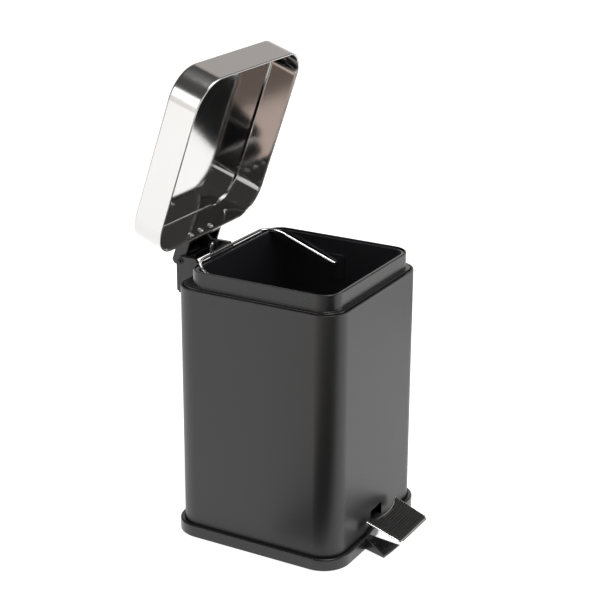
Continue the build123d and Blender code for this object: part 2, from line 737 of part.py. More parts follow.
lever_top_z = lever_z + lever_thickness / 2
lever_tilt = radians(lever_slope)
lever_half_rise = (lever_top_z - pivot_z) / cos(lever_tilt)
lever_top_here = pivot_z + (tread_screw_y - pivot_y) * sin(lever_tilt) + lever_half_rise
boss_foot = lever_top_here + boss_gap
with BuildPart() as pedal_cover:
    add(tread_body)
    add(tread_hollow, mode=Mode.SUBTRACT)
    # the inner end is open for the lever
    with BuildSketch(Plane.XY):
        with Locations((0, tread_inner_y - tread_bow / 2)):
            Rectangle(lever_width + 2 * slot_side_gap, 2 * tread_bow + 4)
    extrude(amount=tread_top_at(tread_inner_y - 2 * tread_bow) - tread_wall, mode=Mode.SUBTRACT)
    # bosses that the tread screws bite into
    with BuildSketch(Plane.XY.offset(boss_foot)):
        with Locations((-tread_screw_x, tread_screw_y), (tread_screw_x, tread_screw_y)):
            Circle(boss_radius)
    extrude(amount=tread_top_at(tread_screw_y) - tread_wall / 2 - 1.1 - boss_foot)
    with BuildSketch(Plane.XY.offset(boss_foot - 1)):
        with Locations((-tread_screw_x, tread_screw_y), (tread_screw_x, tread_screw_y)):
            Circle(tread_screw_hole)
    extrude(amount=2.4, mode=Mode.SUBTRACT)
save(pedal_cover, "pedal_cover")

with BuildPart() as pedal_pad:
    add(pad_body)
save(pedal_pad, "pedal_pad")

with BuildPart() as tread_screws:
    lever_under = lever_top_here - lever_thickness / cos(lever_tilt)
    for x in (-tread_screw_x, tread_screw_x):
        with BuildSketch(Plane.XY.offset(lever_under - tread_screw_gap)):
            with Locations((x, tread_screw_y)):
                Circle(tread_screw_head)
        extrude(amount=-tread_screw_head_height)
        with BuildSketch(Plane.XY.offset(lever_under - tread_screw_gap)):
            with Locations((x, tread_screw_y)):
                Circle(tread_screw_radius)
        extrude(amount=lever_thickness + tread_screw_head_height)
save(tread_screws, "tread_screws")

# ---------------------------------------------------------------- pivot bracket on the tray floor
with BuildPart() as pivot_bracket:
    for side in (-1, 1):
        with BuildSketch(Plane.YZ.offset(side * bracket_inner)):
            with Locations((pivot_y, pivot_z)):
                Circle(bracket_half)
            with Locations((pivot_y, (pivot_z + shell_bottom) / 2)):
                Rectangle(2 * bracket_half, pivot_z - shell_bottom)
        extrude(amount=side * bracket_wall)
    with BuildSketch(Plane.XY.offset(shell_bottom)):
        with Locations((0, pivot_y)):
            Rectangle(2 * (bracket_inner + bracket_wall + bracket_foot), 2 * bracket_half)
    extrude(amount=bracket_wall)
    with BuildSketch(Plane.YZ.offset(-2 * bracket_inner)):
        with Locations((pivot_y, pivot_z)):
            Circle(pivot_radius + fit_gap)
    extrude(amount=4 * bracket_inner, mode=Mode.SUBTRACT)
    with BuildSketch(Plane.XY.offset(base_bottom)):
        with Locations((-rivet_x, pivot_y), (rivet_x, pivot_y)):
            Circle(rivet_radius + fit_gap)
    extrude(amount=2 * base_floor + bracket_wall, mode=Mode.SUBTRACT)
save(pivot_bracket, "pivot_bracket")

with BuildPart() as pivot_pin:
    with BuildSketch(Plane.YZ.offset(-bracket_inner - bracket_wall - pin_end)):
        with Locations((pivot_y, pivot_z)):
            Circle(pivot_radius)
    extrude(amount=2 * (bracket_inner + bracket_wall + pin_end))
save(pivot_pin, "pivot_pin")

with BuildPart() as pivot_clips:
    for side in (-1, 1):
        with BuildSketch(Plane.YZ.offset(side * (bracket_inner + bracket_wall + clip_gap))):
            with Locations((pivot_y, pivot_z)):
                Circle(pivot_radius + clip_rim)
                Circle(pivot_radius + fit_gap, mode=Mode.SUBTRACT)
        extrude(amount=side * clip_thickness)
save(pivot_clips, "pivot_clips")

with BuildPart() as pivot_washers:
    for side in (-1, 1):
        with BuildSketch(Plane.YZ.offset(side * (lever_width / 2 + washer_gap))):
            with Locations((pivot_y, pivot_z)):
                Circle(ear_radius)
                Circle(pivot_radius + fit_gap, mode=Mode.SUBTRACT)
        extrude(amount=side * washer_thickness)
save(pivot_washers, "pivot_washers")

# rivets through the bracket's feet and the tray floor
with BuildPart() as bracket_rivets:
    rivet_places = ((-rivet_x, pivot_y), (rivet_x, pivot_y))
    with BuildSketch(Plane.XY.offset(shell_bottom + bracket_wall)):
        with Locations(*rivet_places):
            Circle(rivet_head)
    extrude(amount=rivet_head_height)
    with BuildSketch(Plane.XY.offset(shell_bottom + bracket_wall)):
        with Locations(*rivet_places):
            Circle(rivet_radius)
    extrude(amount=-bracket_wall - base_floor)
save(bracket_rivets, "bracket_rivets")
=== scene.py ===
"""Looks of a square pedal bin: meshes, finishes, light and camera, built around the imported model.

Metres, in the model's own frame: +Z up, the pedal at -Y, the lid's hinge at +Y. Places come from the
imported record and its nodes' boxes; each sub-assembly is a class that holds its other sizes as fields.
"""
from __future__ import annotations

import json
import logging
import math
from dataclasses import dataclass
from enum import Enum
from typing import Callable, Sequence

import bmesh
import bpy
from mathutils import Matrix, Vector


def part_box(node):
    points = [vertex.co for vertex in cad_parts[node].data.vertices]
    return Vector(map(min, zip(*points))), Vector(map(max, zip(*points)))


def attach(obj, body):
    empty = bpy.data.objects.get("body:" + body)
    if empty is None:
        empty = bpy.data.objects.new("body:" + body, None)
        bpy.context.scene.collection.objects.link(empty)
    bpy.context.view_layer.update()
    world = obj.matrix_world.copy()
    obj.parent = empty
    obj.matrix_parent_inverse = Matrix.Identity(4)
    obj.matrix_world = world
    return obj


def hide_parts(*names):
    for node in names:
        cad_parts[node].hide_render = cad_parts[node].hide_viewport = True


MM = 0.001
LOG = logging.getLogger("pedal_bin")
Outline = list[Vector]
Color = tuple[float, float, float]
DUST_COLOR = (0.42, 0.41, 0.39, 1.0)
WELD = 0.01 * MM
BEVEL_DEGREES = 40.0


class Body(Enum):
    """The rigid bodies that new pieces ride on."""

    BASE = "base"
    LID = "lid"
    BUCKET = "bucket"
    BAIL = "bail"
    PEDAL = "pedal"


# ------------------------------------------------------------------ shader groups and finishes
class NodeTree:
    """A small helper for building a node tree by name."""

    def __init__(self, tree: bpy.types.NodeTree) -> None:
        """Wrap a tree.

        Args:
            tree: the tree to build in.
        """
        self.tree = tree

    def add(self, kind: str, **values: object) -> bpy.types.Node:
        """Add a node and set its properties and inputs.

        Args:
            kind: the node's type name.
            values: properties of the node, or inputs written as in_Name with spaces as underscores.

        Returns:
            The new node.
        """
        node = self.tree.nodes.new(kind)
        for key, value in values.items():
            if key.startswith("in_"):
                self.feed(node.inputs[key[3:].replace("_", " ")], value)
            else:
                setattr(node, key, value)
        return node

    def feed(self, target: bpy.types.NodeSocket, value: object) -> None:
        """Link a socket into an input, or give the input a fixed value.

        Args:
            target: the input.
            value: an output socket, or the fixed value.
        """
        if isinstance(value, bpy.types.NodeSocket):
            self.tree.links.new(value, target)
        else:
            target.default_value = value

    def math(self, operation: str, *terms: object, clamp: bool = False) -> bpy.types.NodeSocket:
        """Add a Math node.

        Args:
            operation: what it does.
            terms: sockets or numbers, in order.
            clamp: True keeps the result between 0 and 1.

        Returns:
            The node's output.
        """
        node = self.add("ShaderNodeMath", operation=operation, use_clamp=clamp)
        for target, term in zip(node.inputs, terms):
            self.feed(target, term)
        return node.outputs[0]


class ShaderGroup(NodeTree):
    """A shader node group with named sockets, placed by Object coordinates."""

    def __init__(self, name: str, takes: dict[str, str], gives: dict[str, str]) -> None:
        """Start a group.

        Args:
            name: the group's name.
            takes: each input's name and its kind: Color, Vector or Float.
            gives: each output's name and its kind.
        """
        super().__init__(bpy.data.node_groups.new(name, "ShaderNodeTree"))
        for way, sockets in (("INPUT", takes), ("OUTPUT", gives)):
            for key, kind in sockets.items():
                self.tree.interface.new_socket(key, in_out=way, socket_type=f"NodeSocket{kind}")
        self.given = self.add("NodeGroupInput").outputs
        self.out = self.add("NodeGroupOutput").inputs
        self.where = self.add("ShaderNodeTexCoord").outputs["Object"]

    def drifting_roughness(self, centred: bpy.types.NodeSocket) -> None:
        """Give out a roughness that varies over the surface.

        Args:
            centred: the variation, on both sides of 0.
        """
        spread, middle = self.given["Roughness Drift"], self.given["Roughness"]
        self.feed(self.out["Roughness"], self.math("MULTIPLY_ADD", centred, spread, middle, clamp=True))


def grain_group() -> bpy.types.NodeTree:
    """Build the shared surface group: fine grain, slow variation and settled dust.

    Returns:
        A shader group with Height, Color and Roughness outputs that change over the surface.
    """
    found = bpy.data.node_groups.get("surface_grain")
    if found:
        return found
    numbers = ("Grain Scale", "Drift Scale", "Drift", "Roughness", "Roughness Drift", "Dust")
    takes = {"Color": "Color"} | dict.fromkeys(numbers, "Float")
    t = ShaderGroup("surface_grain", takes, {"Color": "Color", "Roughness": "Float", "Height": "Float"})
    grain = t.add("ShaderNodeTexNoise", in_Vector=t.where, in_Scale=t.given["Grain Scale"], in_Detail=3.0)
    slow = t.add("ShaderNodeTexNoise", in_Vector=t.where, in_Scale=t.given["Drift Scale"], in_Detail=4.0)
    slow.inputs["Roughness"].default_value = 0.6
    drift = slow.outputs["Fac"]
    centred = t.math("SUBTRACT", drift, 0.5)
    shade = t.math("MULTIPLY_ADD", centred, t.given["Drift"], 1.0)
    tinted = t.add("ShaderNodeVectorMath", operation="SCALE", in_Scale=shade)
    t.feed(tinted.inputs[0], t.given["Color"])
    facing = t.add("ShaderNodeNewGeometry")
    split = t.add("ShaderNodeSeparateXYZ", in_Vector=facing.outputs["Normal"])
    up = t.math("MULTIPLY", split.outputs["Z"], drift, clamp=True)
    dust = t.math("MULTIPLY", up, t.given["Dust"], clamp=True)
    # inputs 6 and 7 and output 2 are the Mix node's colours
    dusty = t.add("ShaderNodeMix", data_type="RGBA", in_Factor=dust)
    t.feed(dusty.inputs[6], tinted.outputs[0])
    t.feed(dusty.inputs[7], DUST_COLOR)
    t.feed(t.out["Color"], dusty.outputs[2])
    t.drifting_roughness(centred)
    t.feed(t.out["Height"], grain.outputs["Fac"])
    return t.tree


def brush_group() -> bpy.types.NodeTree:
    """Build the shared brushing group: long fine scratches along one direction.

    Returns:
        A shader group with Height and Roughness outputs.
    """
    found = bpy.data.node_groups.get("brushed_lines")
    if found:
        return found
    takes = {"Turn": "Vector", "Stretch": "Vector", "Roughness": "Float", "Roughness Drift": "Float"}
    t = ShaderGroup("brushed_lines", takes, {"Roughness": "Float", "Height": "Float"})
    turned = t.add("ShaderNodeVectorRotate", rotation_type="EULER_XYZ", in_Vector=t.where)
    t.feed(turned.inputs["Rotation"], t.given["Turn"])
    stretched = t.add("ShaderNodeVectorMath", operation="MULTIPLY")
    t.feed(stretched.inputs[0], turned.outputs[0])
    t.feed(stretched.inputs[1], t.given["Stretch"])
    lines = t.add("ShaderNodeTexNoise", in_Scale=1.0, in_Detail=4.0, in_Roughness=0.7)
    t.feed(lines.inputs["Vector"], stretched.outputs[0])
    t.drifting_roughness(t.math("SUBTRACT", lines.outputs["Fac"], 0.5))
    t.feed(t.out["Height"], lines.outputs["Fac"])
    return t.tree


def new_material(name: str, settings: dict[str, object]) -> tuple[bpy.types.Material, bpy.types.Node]:
    """Make a material and set inputs of its Principled shader.

    Args:
        name: the material's name.
        settings: inputs by name.

    Returns:
        The material and its Principled shader.
    """
    made = bpy.data.materials.new(name)
    made.use_nodes = True
    shader = made.node_tree.nodes["Principled BSDF"]
    for key, value in settings.items():
        shader.inputs[key].default_value = value
    return made, shader


@dataclass(frozen=True)
class Finish:
    """What every finish has. Each kind adds its own nodes in nodes()."""

    slot: str
    color: Color
    roughness: float

    def material(self) -> bpy.types.Material:
        """Build the finish's material, or return it if it is already made.

        Returns:
            The material.
        """
        name = f"finish_{self.slot}"
        found = bpy.data.materials.get(name)
        if found:
            return found
        made, shader = new_material(name, self.constants())
        t = NodeTree(made.node_tree)
        group, depth_mm = self.nodes(t, shader)
        bump = t.add("ShaderNodeBump", in_Strength=1.0, in_Distance=depth_mm * MM)
        t.feed(bump.inputs["Height"], group.outputs["Height"])
        t.feed(shader.inputs["Normal"], bump.outputs["Normal"])
        t.feed(shader.inputs["Roughness"], group.outputs["Roughness"])
        return made

    def constants(self) -> dict[str, object]:
        """The Principled inputs that don't change over the surface.

        Returns:
            The values by name.
        """
        raise NotImplementedError

    def nodes(self, t: NodeTree, shader: bpy.types.Node) -> tuple[bpy.types.Node, float]:
        """Add the finish's shared group and set it.

        Args:
            t: the material's tree.
            shader: its Principled shader.

        Returns:
            The group's node, and how deep its Height is in millimetres.
        """
        raise NotImplementedError


@dataclass(frozen=True)
class GrainedFinish(Finish):
    """Paint, plastic, rubber or plated metal with a fine grain."""

    metallic: float = 0.0
    grain_mm: float = 0.5
    grain_depth_mm: float = 0.01
    drift: float = 0.15
    drift_mm: float = 60.0
    roughness_drift: float = 0.08
    dust: float = 0.0
    specular: float = 0.5

    def constants(self) -> dict[str, object]:
        """See Finish."""
        return {"Metallic": self.metallic, "Specular IOR Level": self.specular}

    def nodes(self, t: NodeTree, shader: bpy.types.Node) -> tuple[bpy.types.Node, float]:
        """See Finish."""
        grain = t.add("ShaderNodeGroup", node_tree=grain_group(), label="Surface grain")
        settings = {
            "Color": (*self.color, 1.0),
            "Grain Scale": 1.0 / (self.grain_mm * MM),
            "Drift Scale": 1.0 / (self.drift_mm * MM),
            "Drift": self.drift,
            "Roughness": self.roughness,
            "Roughness Drift": self.roughness_drift,
            "Dust": self.dust,
        }
        for key, value in settings.items():
            grain.inputs[key].default_value = value
        t.feed(shader.inputs["Base Color"], grain.outputs["Color"])
        return grain, self.grain_depth_mm


@dataclass(frozen=True)
class BrushedFinish(Finish):
    """Polished steel with fine brushing along one direction and an unbrushed inside."""

    turn_degrees: float = 0.0
    along_mm: float = 60.0
    across_mm: float = 0.25
    depth_mm: float = 0.002
    roughness_drift: float = 0.12
    inside_roughness: float = 0.07

    def constants(self) -> dict[str, object]:
        """See Finish."""
        return {"Metallic": 1.0, "Base Color": (*self.color, 1.0)}

    def nodes(self, t: NodeTree, shader: bpy.types.Node) -> tuple[bpy.types.Node, float]:
        """See Finish."""
        brush = t.add("ShaderNodeGroup", node_tree=brush_group(), label="Brushed lines")
        brush.inputs["Turn"].default_value = (math.radians(self.turn_degrees), 0.0, 0.0)
        fine = 1.0 / (self.across_mm * MM)
        brush.inputs["Stretch"].default_value = (1.0 / (self.along_mm * MM), fine, fine)
        inside = t.add("ShaderNodeAttribute", attribute_name="inside", label="1 on the unbrushed inside")
        ranges = {
            "Roughness": (self.roughness, self.inside_roughness),
            "Roughness Drift": (self.roughness_drift, self.roughness_drift / 4),
        }
        for key, (brushed, plain) in ranges.items():
            mix = t.add("ShaderNodeMapRange", in_To_Min=brushed, in_To_Max=plain)
            t.feed(mix.inputs["Value"], inside.outputs["Fac"])
            t.feed(brush.inputs[key], mix.outputs["Result"])
        return brush, self.depth_mm


LID_STEEL = BrushedFinish("polished_steel", (0.64, 0.63, 0.622), 0.19, turn_degrees=71.0, depth_mm=0.004)
POWDER_COAT = GrainedFinish(
    "painted_steel",
    (0.0125, 0.0122, 0.0125),
    0.4,
    grain_mm=0.45,
    grain_depth_mm=0.006,
    drift=0.12,
    roughness_drift=0.05,
    dust=0.02,
    specular=0.55,
)
SATIN_PLASTIC = GrainedFinish(
    "black_plastic", (0.011, 0.011, 0.0115), 0.28, grain_mm=0.6, grain_depth_mm=0.006, dust=0.03
)
GLOSS_PLASTIC = GrainedFinish(
    "gloss_black_plastic", (0.02, 0.02, 0.0225), 0.18, grain_mm=4.0, roughness_drift=0.06
)
ZINC = GrainedFinish(
    "zinc_steel", (0.62, 0.62, 0.63), 0.3, metallic=1.0, grain_mm=1.2, drift=0.3, drift_mm=6.0
)
CHROME_WIRE = GrainedFinish(
    "chrome_wire",
    (0.82, 0.82, 0.83), 0.08,
    metallic=1.0, grain_mm=2.0, grain_depth_mm=0.003, roughness_drift=0.04,
)
CHROME_PLATE = GrainedFinish(
    "chrome_plate",
    (0.8, 0.8, 0.8), 0.1,
    metallic=1.0, grain_mm=1.5, grain_depth_mm=0.003, roughness_drift=0.06,
)
RUBBER = GrainedFinish("rubber", (0.02, 0.02, 0.021), 0.7, grain_mm=0.4, grain_depth_mm=0.02, specular=0.3)
TREAD_RUBBER = GrainedFinish(
    "tread_rubber", (0.012, 0.012, 0.013), 0.36, grain_mm=0.3, grain_depth_mm=0.015, dust=0.1
)
BLACK_OXIDE = GrainedFinish(
    "blackened_steel", (0.02, 0.02, 0.021), 0.35, metallic=0.6, grain_mm=0.8, drift=0.25, drift_mm=5.0
)
NYLON = GrainedFinish("nylon", (0.7, 0.68, 0.62), 0.45, grain_mm=0.5)


# ------------------------------------------------------------------ mesh helpers
def rounded_outline(
    half_x: float, half_y: float, radius: float, z: float, y: float = 0.0, steps: int = 16
) -> Outline:
    """Points of a rounded rectangle at one height.

    Args:
        half_x: half its width.
        half_y: half its depth.
        radius: corner radius.
        z: height.
        y: where its centre is.
        steps: segments in each corner.

    Returns:
        The points, anticlockwise seen from above.
    """
    points = []
    centres = ((1, 1), (-1, 1), (-1, -1), (1, -1))
    for quarter, (side_x, side_y) in enumerate(centres):
        for step in range(steps + 1):
            angle = math.radians(90 * (quarter + step / steps))
            points.append(
                Vector(
                    (
                        side_x * (half_x - radius) + radius * math.cos(angle),
                        y + side_y * (half_y - radius) + radius * math.sin(angle),
                        z,
                    )
                )
            )
    return points


def quarter_round(radius: float, steps: int = 5) -> list[tuple[float, float]]:
    """Make the profile of a rounded outside edge.

    Args:
        radius: the rounding's radius.
        steps: segments in it.

    Returns:
        The inset and the drop of each point, from the side up to the top face.
    """
    angles = [math.radians(90 * step / steps) for step in range(steps + 1)]
    return [(radius * (1 - math.cos(a)), radius * (1 - math.sin(a))) for a in angles]


def loft(name: str, outlines: Sequence[Outline], capped: bool) -> bpy.types.Object:
    """Join outlines into a skin.

    Args:
        name: the object's name.
        outlines: outlines with equal numbers of points.
        capped: True closes the two end outlines with faces; False joins the last to the first.

    Returns:
        The new object, with its faces pointing outwards.
    """
    work = bmesh.new()
    rings = [[work.verts.new(p) for p in outline] for outline in outlines]
    pairs = list(zip(rings, rings[1:]))
    if not capped:
        pairs.append((rings[-1], rings[0]))
    count = len(rings[0])
    for low, high in pairs:
        for i in range(count):
            j = (i + 1) % count
            work.faces.new((low[i], low[j], high[j], high[i]))
    if capped:
        work.faces.new(rings[0])
        work.faces.new(rings[-1])
    bmesh.ops.recalc_face_normals(work, faces=work.faces)
    return new_object(name, work)


def new_object(name: str, work: bmesh.types.BMesh) -> bpy.types.Object:
    """Turn a bmesh into an object of the scene and free it.

    Args:
        name: the object's name.
        work: the bmesh.

    Returns:
        The object.
    """
    mesh = bpy.data.meshes.new(name)
    work.to_mesh(mesh)
    work.free()
    made = bpy.data.objects.new(name, mesh)
    bpy.context.scene.collection.objects.link(made)
    return made


def settle(
    piece: bpy.types.Object, sharp_degrees: float = 32.0, weighted: bool = True
) -> bpy.types.Object:
    """Apply a piece's modifiers and shade it smooth, with sharp edges by angle.

    Args:
        piece: the object.
        sharp_degrees: faces that meet at more than this stay sharp.
        weighted: True weights the normals by face area, which keeps large flats flat.

    Returns:
        The same object, with a plain mesh.
    """
    replace_mesh(piece)
    piece.data.shade_smooth()
    piece.data.set_sharp_from_angle(angle=math.radians(sharp_degrees))
    if weighted:
        normal = piece.modifiers.new("normals", "WEIGHTED_NORMAL")
        normal.keep_sharp = True
        replace_mesh(piece)
    return piece


def replace_mesh(piece: bpy.types.Object) -> None:
    """Swap an object's data for its evaluated mesh and drop its modifiers.

    Args:
        piece: the object.
    """
    bpy.context.view_layer.update()
    graph = bpy.context.evaluated_depsgraph_get()
    mesh = bpy.data.meshes.new_from_object(piece.evaluated_get(graph), depsgraph=graph)
    mesh.name = piece.name
    piece.modifiers.clear()
    piece.data = mesh


def block(low: Vector, high: Vector) -> bpy.types.Object:
    """Make a plain box, used only as a cutter.

    Args:
        low: its lowest corner.
        high: its highest corner.

    Returns:
        The box.
    """
    work = bmesh.new()
    bmesh.ops.create_cube(work, size=1.0)
    bmesh.ops.scale(work, vec=high - low, verts=work.verts)
    bmesh.ops.translate(work, vec=(low + high) / 2, verts=work.verts)
    return new_object("cutter", work)


def cut(piece: bpy.types.Object, cutters: Sequence[bpy.types.Object]) -> None:
    """Cut holes in a piece and delete the cutters.

    Args:
        piece: the object.
        cutters: what is taken out of it.
    """
    for cutter in cutters:
        boolean = piece.modifiers.new("hole", "BOOLEAN")
        boolean.operation = "DIFFERENCE"
        boolean.solver = "EXACT"
        boolean.object = cutter
    replace_mesh(piece)
    for cutter in cutters:
        bpy.data.objects.remove(cutter)


def softened(node: str, width_mm: float) -> bpy.types.Object:
    """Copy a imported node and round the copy's edges.

    Args:
        node: the node's name.
        width_mm: how wide the rounding is.

    Returns:
        A new object named after the node.
    """
    work = bmesh.new()
    work.from_mesh(FRAME["nodes"][node].data)
    bmesh.ops.remove_doubles(work, verts=work.verts, dist=WELD)
    bmesh.ops.dissolve_limit(work, angle_limit=math.radians(1.0), verts=work.verts, edges=work.edges)
    piece = new_object(f"{node}_finished", work)
    bevel = piece.modifiers.new("edges", "BEVEL")
    bevel.width = width_mm * MM
    bevel.segments = 2
    bevel.limit_method = "ANGLE"
    bevel.angle_limit = math.radians(BEVEL_DEGREES)
    return settle(piece)


def dress(piece: bpy.types.Object, finish: Finish, body: Body, nodes: Sequence[str] = ()) -> None:
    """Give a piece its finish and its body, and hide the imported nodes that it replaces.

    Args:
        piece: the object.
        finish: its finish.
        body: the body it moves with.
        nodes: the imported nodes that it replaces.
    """
    piece.data.materials.clear()
    piece.data.materials.append(finish.material())
    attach(piece, body.value)
    if nodes:
        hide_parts(*nodes)
    LOG.info("%s: %d faces on %s", piece.name, len(piece.data.polygons), body.value)


# ------------------------------------------------------------------ geometry node trees
class GeometryTree(NodeTree):
    """A geometry node tree with named inputs that ends in Realize Instances and Set Material."""

    def __init__(self, name: str, inputs: dict[str, float | int]) -> None:
        """Start a tree.

        Args:
            name: the tree's name.
            inputs: each input's name and default, an int for a whole number and a float for a length.
        """
        super().__init__(bpy.data.node_groups.new(name, "GeometryNodeTree"))
        faces = self.tree.interface
        faces.new_socket("Geometry", in_out="INPUT", socket_type="NodeSocketGeometry")
        for key, value in inputs.items():
            kind = "NodeSocketInt" if isinstance(value, int) else "NodeSocketFloat"
            faces.new_socket(key, in_out="INPUT", socket_type=kind).default_value = value
        faces.new_socket("Material", in_out="INPUT", socket_type="NodeSocketMaterial")
        faces.new_socket("Geometry", in_out="OUTPUT", socket_type="NodeSocketGeometry")
        self.given = self.add("NodeGroupInput").outputs

    def finish(self, geometry: bpy.types.NodeSocket) -> bpy.types.NodeTree:
        """Close the tree.

        Args:
            geometry: what the tree has made.

        Returns:
            The tree.
        """
        real = self.add("GeometryNodeRealizeInstances", in_Geometry=geometry)
        paint = self.add("GeometryNodeSetMaterial", in_Geometry=real.outputs[0])
        self.feed(paint.inputs["Material"], self.given["Material"])
        out = self.add("NodeGroupOutput")
        self.feed(out.inputs[0], paint.outputs[0])
        return self.tree


def grown(
    name: str,
    tree: bpy.types.NodeTree,
    values: dict[str, object],
    data: bpy.types.ID | None = None,
    sharp_degrees: float = 32.0,
) -> bpy.types.Object:
    """Make a plain mesh from a geometry node tree.

    Args:
        name: the object's name.
        tree: the tree.
        values: its inputs by name.
        data: the mesh or curve that it starts from.
        sharp_degrees: faces that meet at more than this stay sharp.

    Returns:
        A mesh object with no modifier left on it.
    """
    start = bpy.data.objects.new(f"{name}_start", data or bpy.data.meshes.new(name))
    bpy.context.scene.collection.objects.link(start)
    modifier = start.modifiers.new("nodes", "NODES")
    modifier.node_group = tree
    sockets = {s.name: s.identifier for s in tree.interface.items_tree if s.in_out == "INPUT"}
    for key, value in values.items():
        modifier[sockets[key]] = value
    bpy.context.view_layer.update()
    graph = bpy.context.evaluated_depsgraph_get()
    mesh = bpy.data.meshes.new_from_object(start.evaluated_get(graph), depsgraph=graph)
    bpy.data.objects.remove(start)
    mesh.name = name
    made = bpy.data.objects.new(name, mesh)
    bpy.context.scene.collection.objects.link(made)
    return settle(made, sharp_degrees, weighted=False)


def wire_tree() -> bpy.types.NodeTree:
    """Build geometry nodes that run a round wire along a path.

    Returns:
        The tree.
    """
    t = GeometryTree("bent_wire", {"Wire Radius": 0.0015, "Sides": 20})
    ring = t.add("GeometryNodeCurvePrimitiveCircle", in_Resolution=t.given["Sides"])
    t.feed(ring.inputs["Radius"], t.given["Wire Radius"])
    skin = t.add("GeometryNodeCurveToMesh", in_Curve=t.given["Geometry"], in_Fill_Caps=True)
    t.feed(skin.inputs["Profile Curve"], ring.outputs["Curve"])
    return t.finish(skin.outputs["Mesh"])


def screw_tree() -> bpy.types.NodeTree:
    """Build geometry nodes that set out a row of domed cross-slot screw heads along X.

    The domes point to -Y. The slot's length and depth and how far out it starts are shares of the radius.

    Returns:
        The tree.
    """
    t = GeometryTree(
        "screw_row",
        {
            "Count": 3,
            "Pitch": 0.018,
            "Head Radius": 0.003,
            "Dome": 0.6,
            "Slot": 0.0007,
            "Slot Reach": 0.95,
            "Slot Place": -0.78,
        },
    )
    step = t.add("ShaderNodeCombineXYZ", in_X=t.given["Pitch"])
    line = t.add("GeometryNodeMeshLine", mode="OFFSET", in_Count=t.given["Count"], in_Offset=step.outputs[0])
    ball = t.add("GeometryNodeMeshUVSphere", in_Segments=32, in_Rings=16, in_Radius=t.given["Head Radius"])
    flat = t.add("ShaderNodeCombineXYZ", in_X=1.0, in_Y=t.given["Dome"], in_Z=1.0)
    dome = t.add("GeometryNodeTransform", in_Geometry=ball.outputs["Mesh"], in_Scale=flat.outputs[0])
    head = dome.outputs["Geometry"]
    reach = t.math("MULTIPLY", t.given["Head Radius"], t.given["Slot Reach"])
    place = t.math("MULTIPLY", t.given["Head Radius"], t.given["Slot Place"])
    away = t.add("ShaderNodeCombineXYZ", in_Y=place)
    for along, across in (("X", "Z"), ("Z", "X")):
        dims = t.add("ShaderNodeCombineXYZ", in_Y=reach)
        t.feed(dims.inputs[along], reach)
        t.feed(dims.inputs[across], t.given["Slot"])
        bar = t.add("GeometryNodeMeshCube", in_Size=dims.outputs[0])
        moved = t.add("GeometryNodeTransform", in_Geometry=bar.outputs["Mesh"])
        t.feed(moved.inputs["Translation"], away.outputs[0])
        bite = t.add("GeometryNodeMeshBoolean", operation="DIFFERENCE", in_Mesh_1=head)
        t.feed(bite.inputs["Mesh 2"], moved.outputs["Geometry"])
        head = bite.outputs["Mesh"]
    spots = t.add("GeometryNodeInstanceOnPoints", in_Points=line.outputs["Mesh"], in_Instance=head)
    return t.finish(spots.outputs["Instances"])


def stud_tree() -> bpy.types.NodeTree:
    """Build geometry nodes that fill a tread with small square studs, short of its bowed inner edge.

    The studs are four-sided cones with flat tops; Foot and Tip are their radii as shares of Stud.

    Returns:
        The tree.
    """
    t = GeometryTree(
        "stud_grid",
        {
            "Columns": 34,
            "Rows": 18,
            "Width": 0.056,
            "Depth": 0.03,
            "Stud": 0.0011,
            "Height": 0.0007,
            "Bow": 0.006,
            "Foot": 0.707,
            "Tip": 0.52,
            "Spare": 0.0001,
        },
    )
    grid = t.add("GeometryNodeMeshGrid", in_Vertices_X=t.given["Columns"], in_Vertices_Y=t.given["Rows"])
    t.feed(grid.inputs["Size X"], t.given["Width"])
    t.feed(grid.inputs["Size Y"], t.given["Depth"])
    place = t.add("GeometryNodeInputPosition")
    split = t.add("ShaderNodeSeparateXYZ", in_Vector=place.outputs[0])
    across = t.math("DIVIDE", split.outputs["X"], t.math("MULTIPLY", t.given["Width"], 0.5))
    arc = t.math("SUBTRACT", 1.0, t.math("MULTIPLY", across, across))
    edge = t.math("MULTIPLY", t.given["Depth"], 0.5)
    limit = t.math("SUBTRACT", edge, t.math("MULTIPLY", t.given["Bow"], arc))
    outside = t.math("GREATER_THAN", split.outputs["Y"], t.math("ADD", limit, t.given["Spare"]))
    keep = t.add("GeometryNodeDeleteGeometry", domain="POINT", in_Geometry=grid.outputs["Mesh"])
    t.feed(keep.inputs["Selection"], outside)
    stud = t.add("GeometryNodeMeshCone", in_Vertices=4, in_Depth=t.given["Height"])
    t.feed(stud.inputs["Radius Bottom"], t.math("MULTIPLY", t.given["Stud"], t.given["Foot"]))
    t.feed(stud.inputs["Radius Top"], t.math("MULTIPLY", t.given["Stud"], t.given["Tip"]))
    spots = t.add("GeometryNodeInstanceOnPoints", in_Points=keep.outputs["Geometry"])
    t.feed(spots.inputs["Instance"], stud.outputs["Mesh"])
    spots.inputs["Rotation"].default_value = (0.0, 0.0, math.radians(45))
    return t.finish(spots.outputs["Instances"])


def wire(name: str, points: Sequence[Vector], radius: float, finish: Finish) -> bpy.types.Object:
    """Make a round wire along a path.

    Args:
        name: the object's name.
        points: its path.
        radius: the wire's radius.
        finish: its finish.

    Returns:
        The wire as a plain mesh.
    """
    curve = bpy.data.curves.new(f"{name}_path", "CURVE")
    curve.dimensions = "3D"
    spline = curve.splines.new("POLY")
    spline.points.add(len(points) - 1)
    for target, point in zip(spline.points, points):
        target.co = (*point, 1.0)
    values = {"Wire Radius": radius, "Material": finish.material()}
    return grown(name, wire_tree(), values, curve, 50.0)


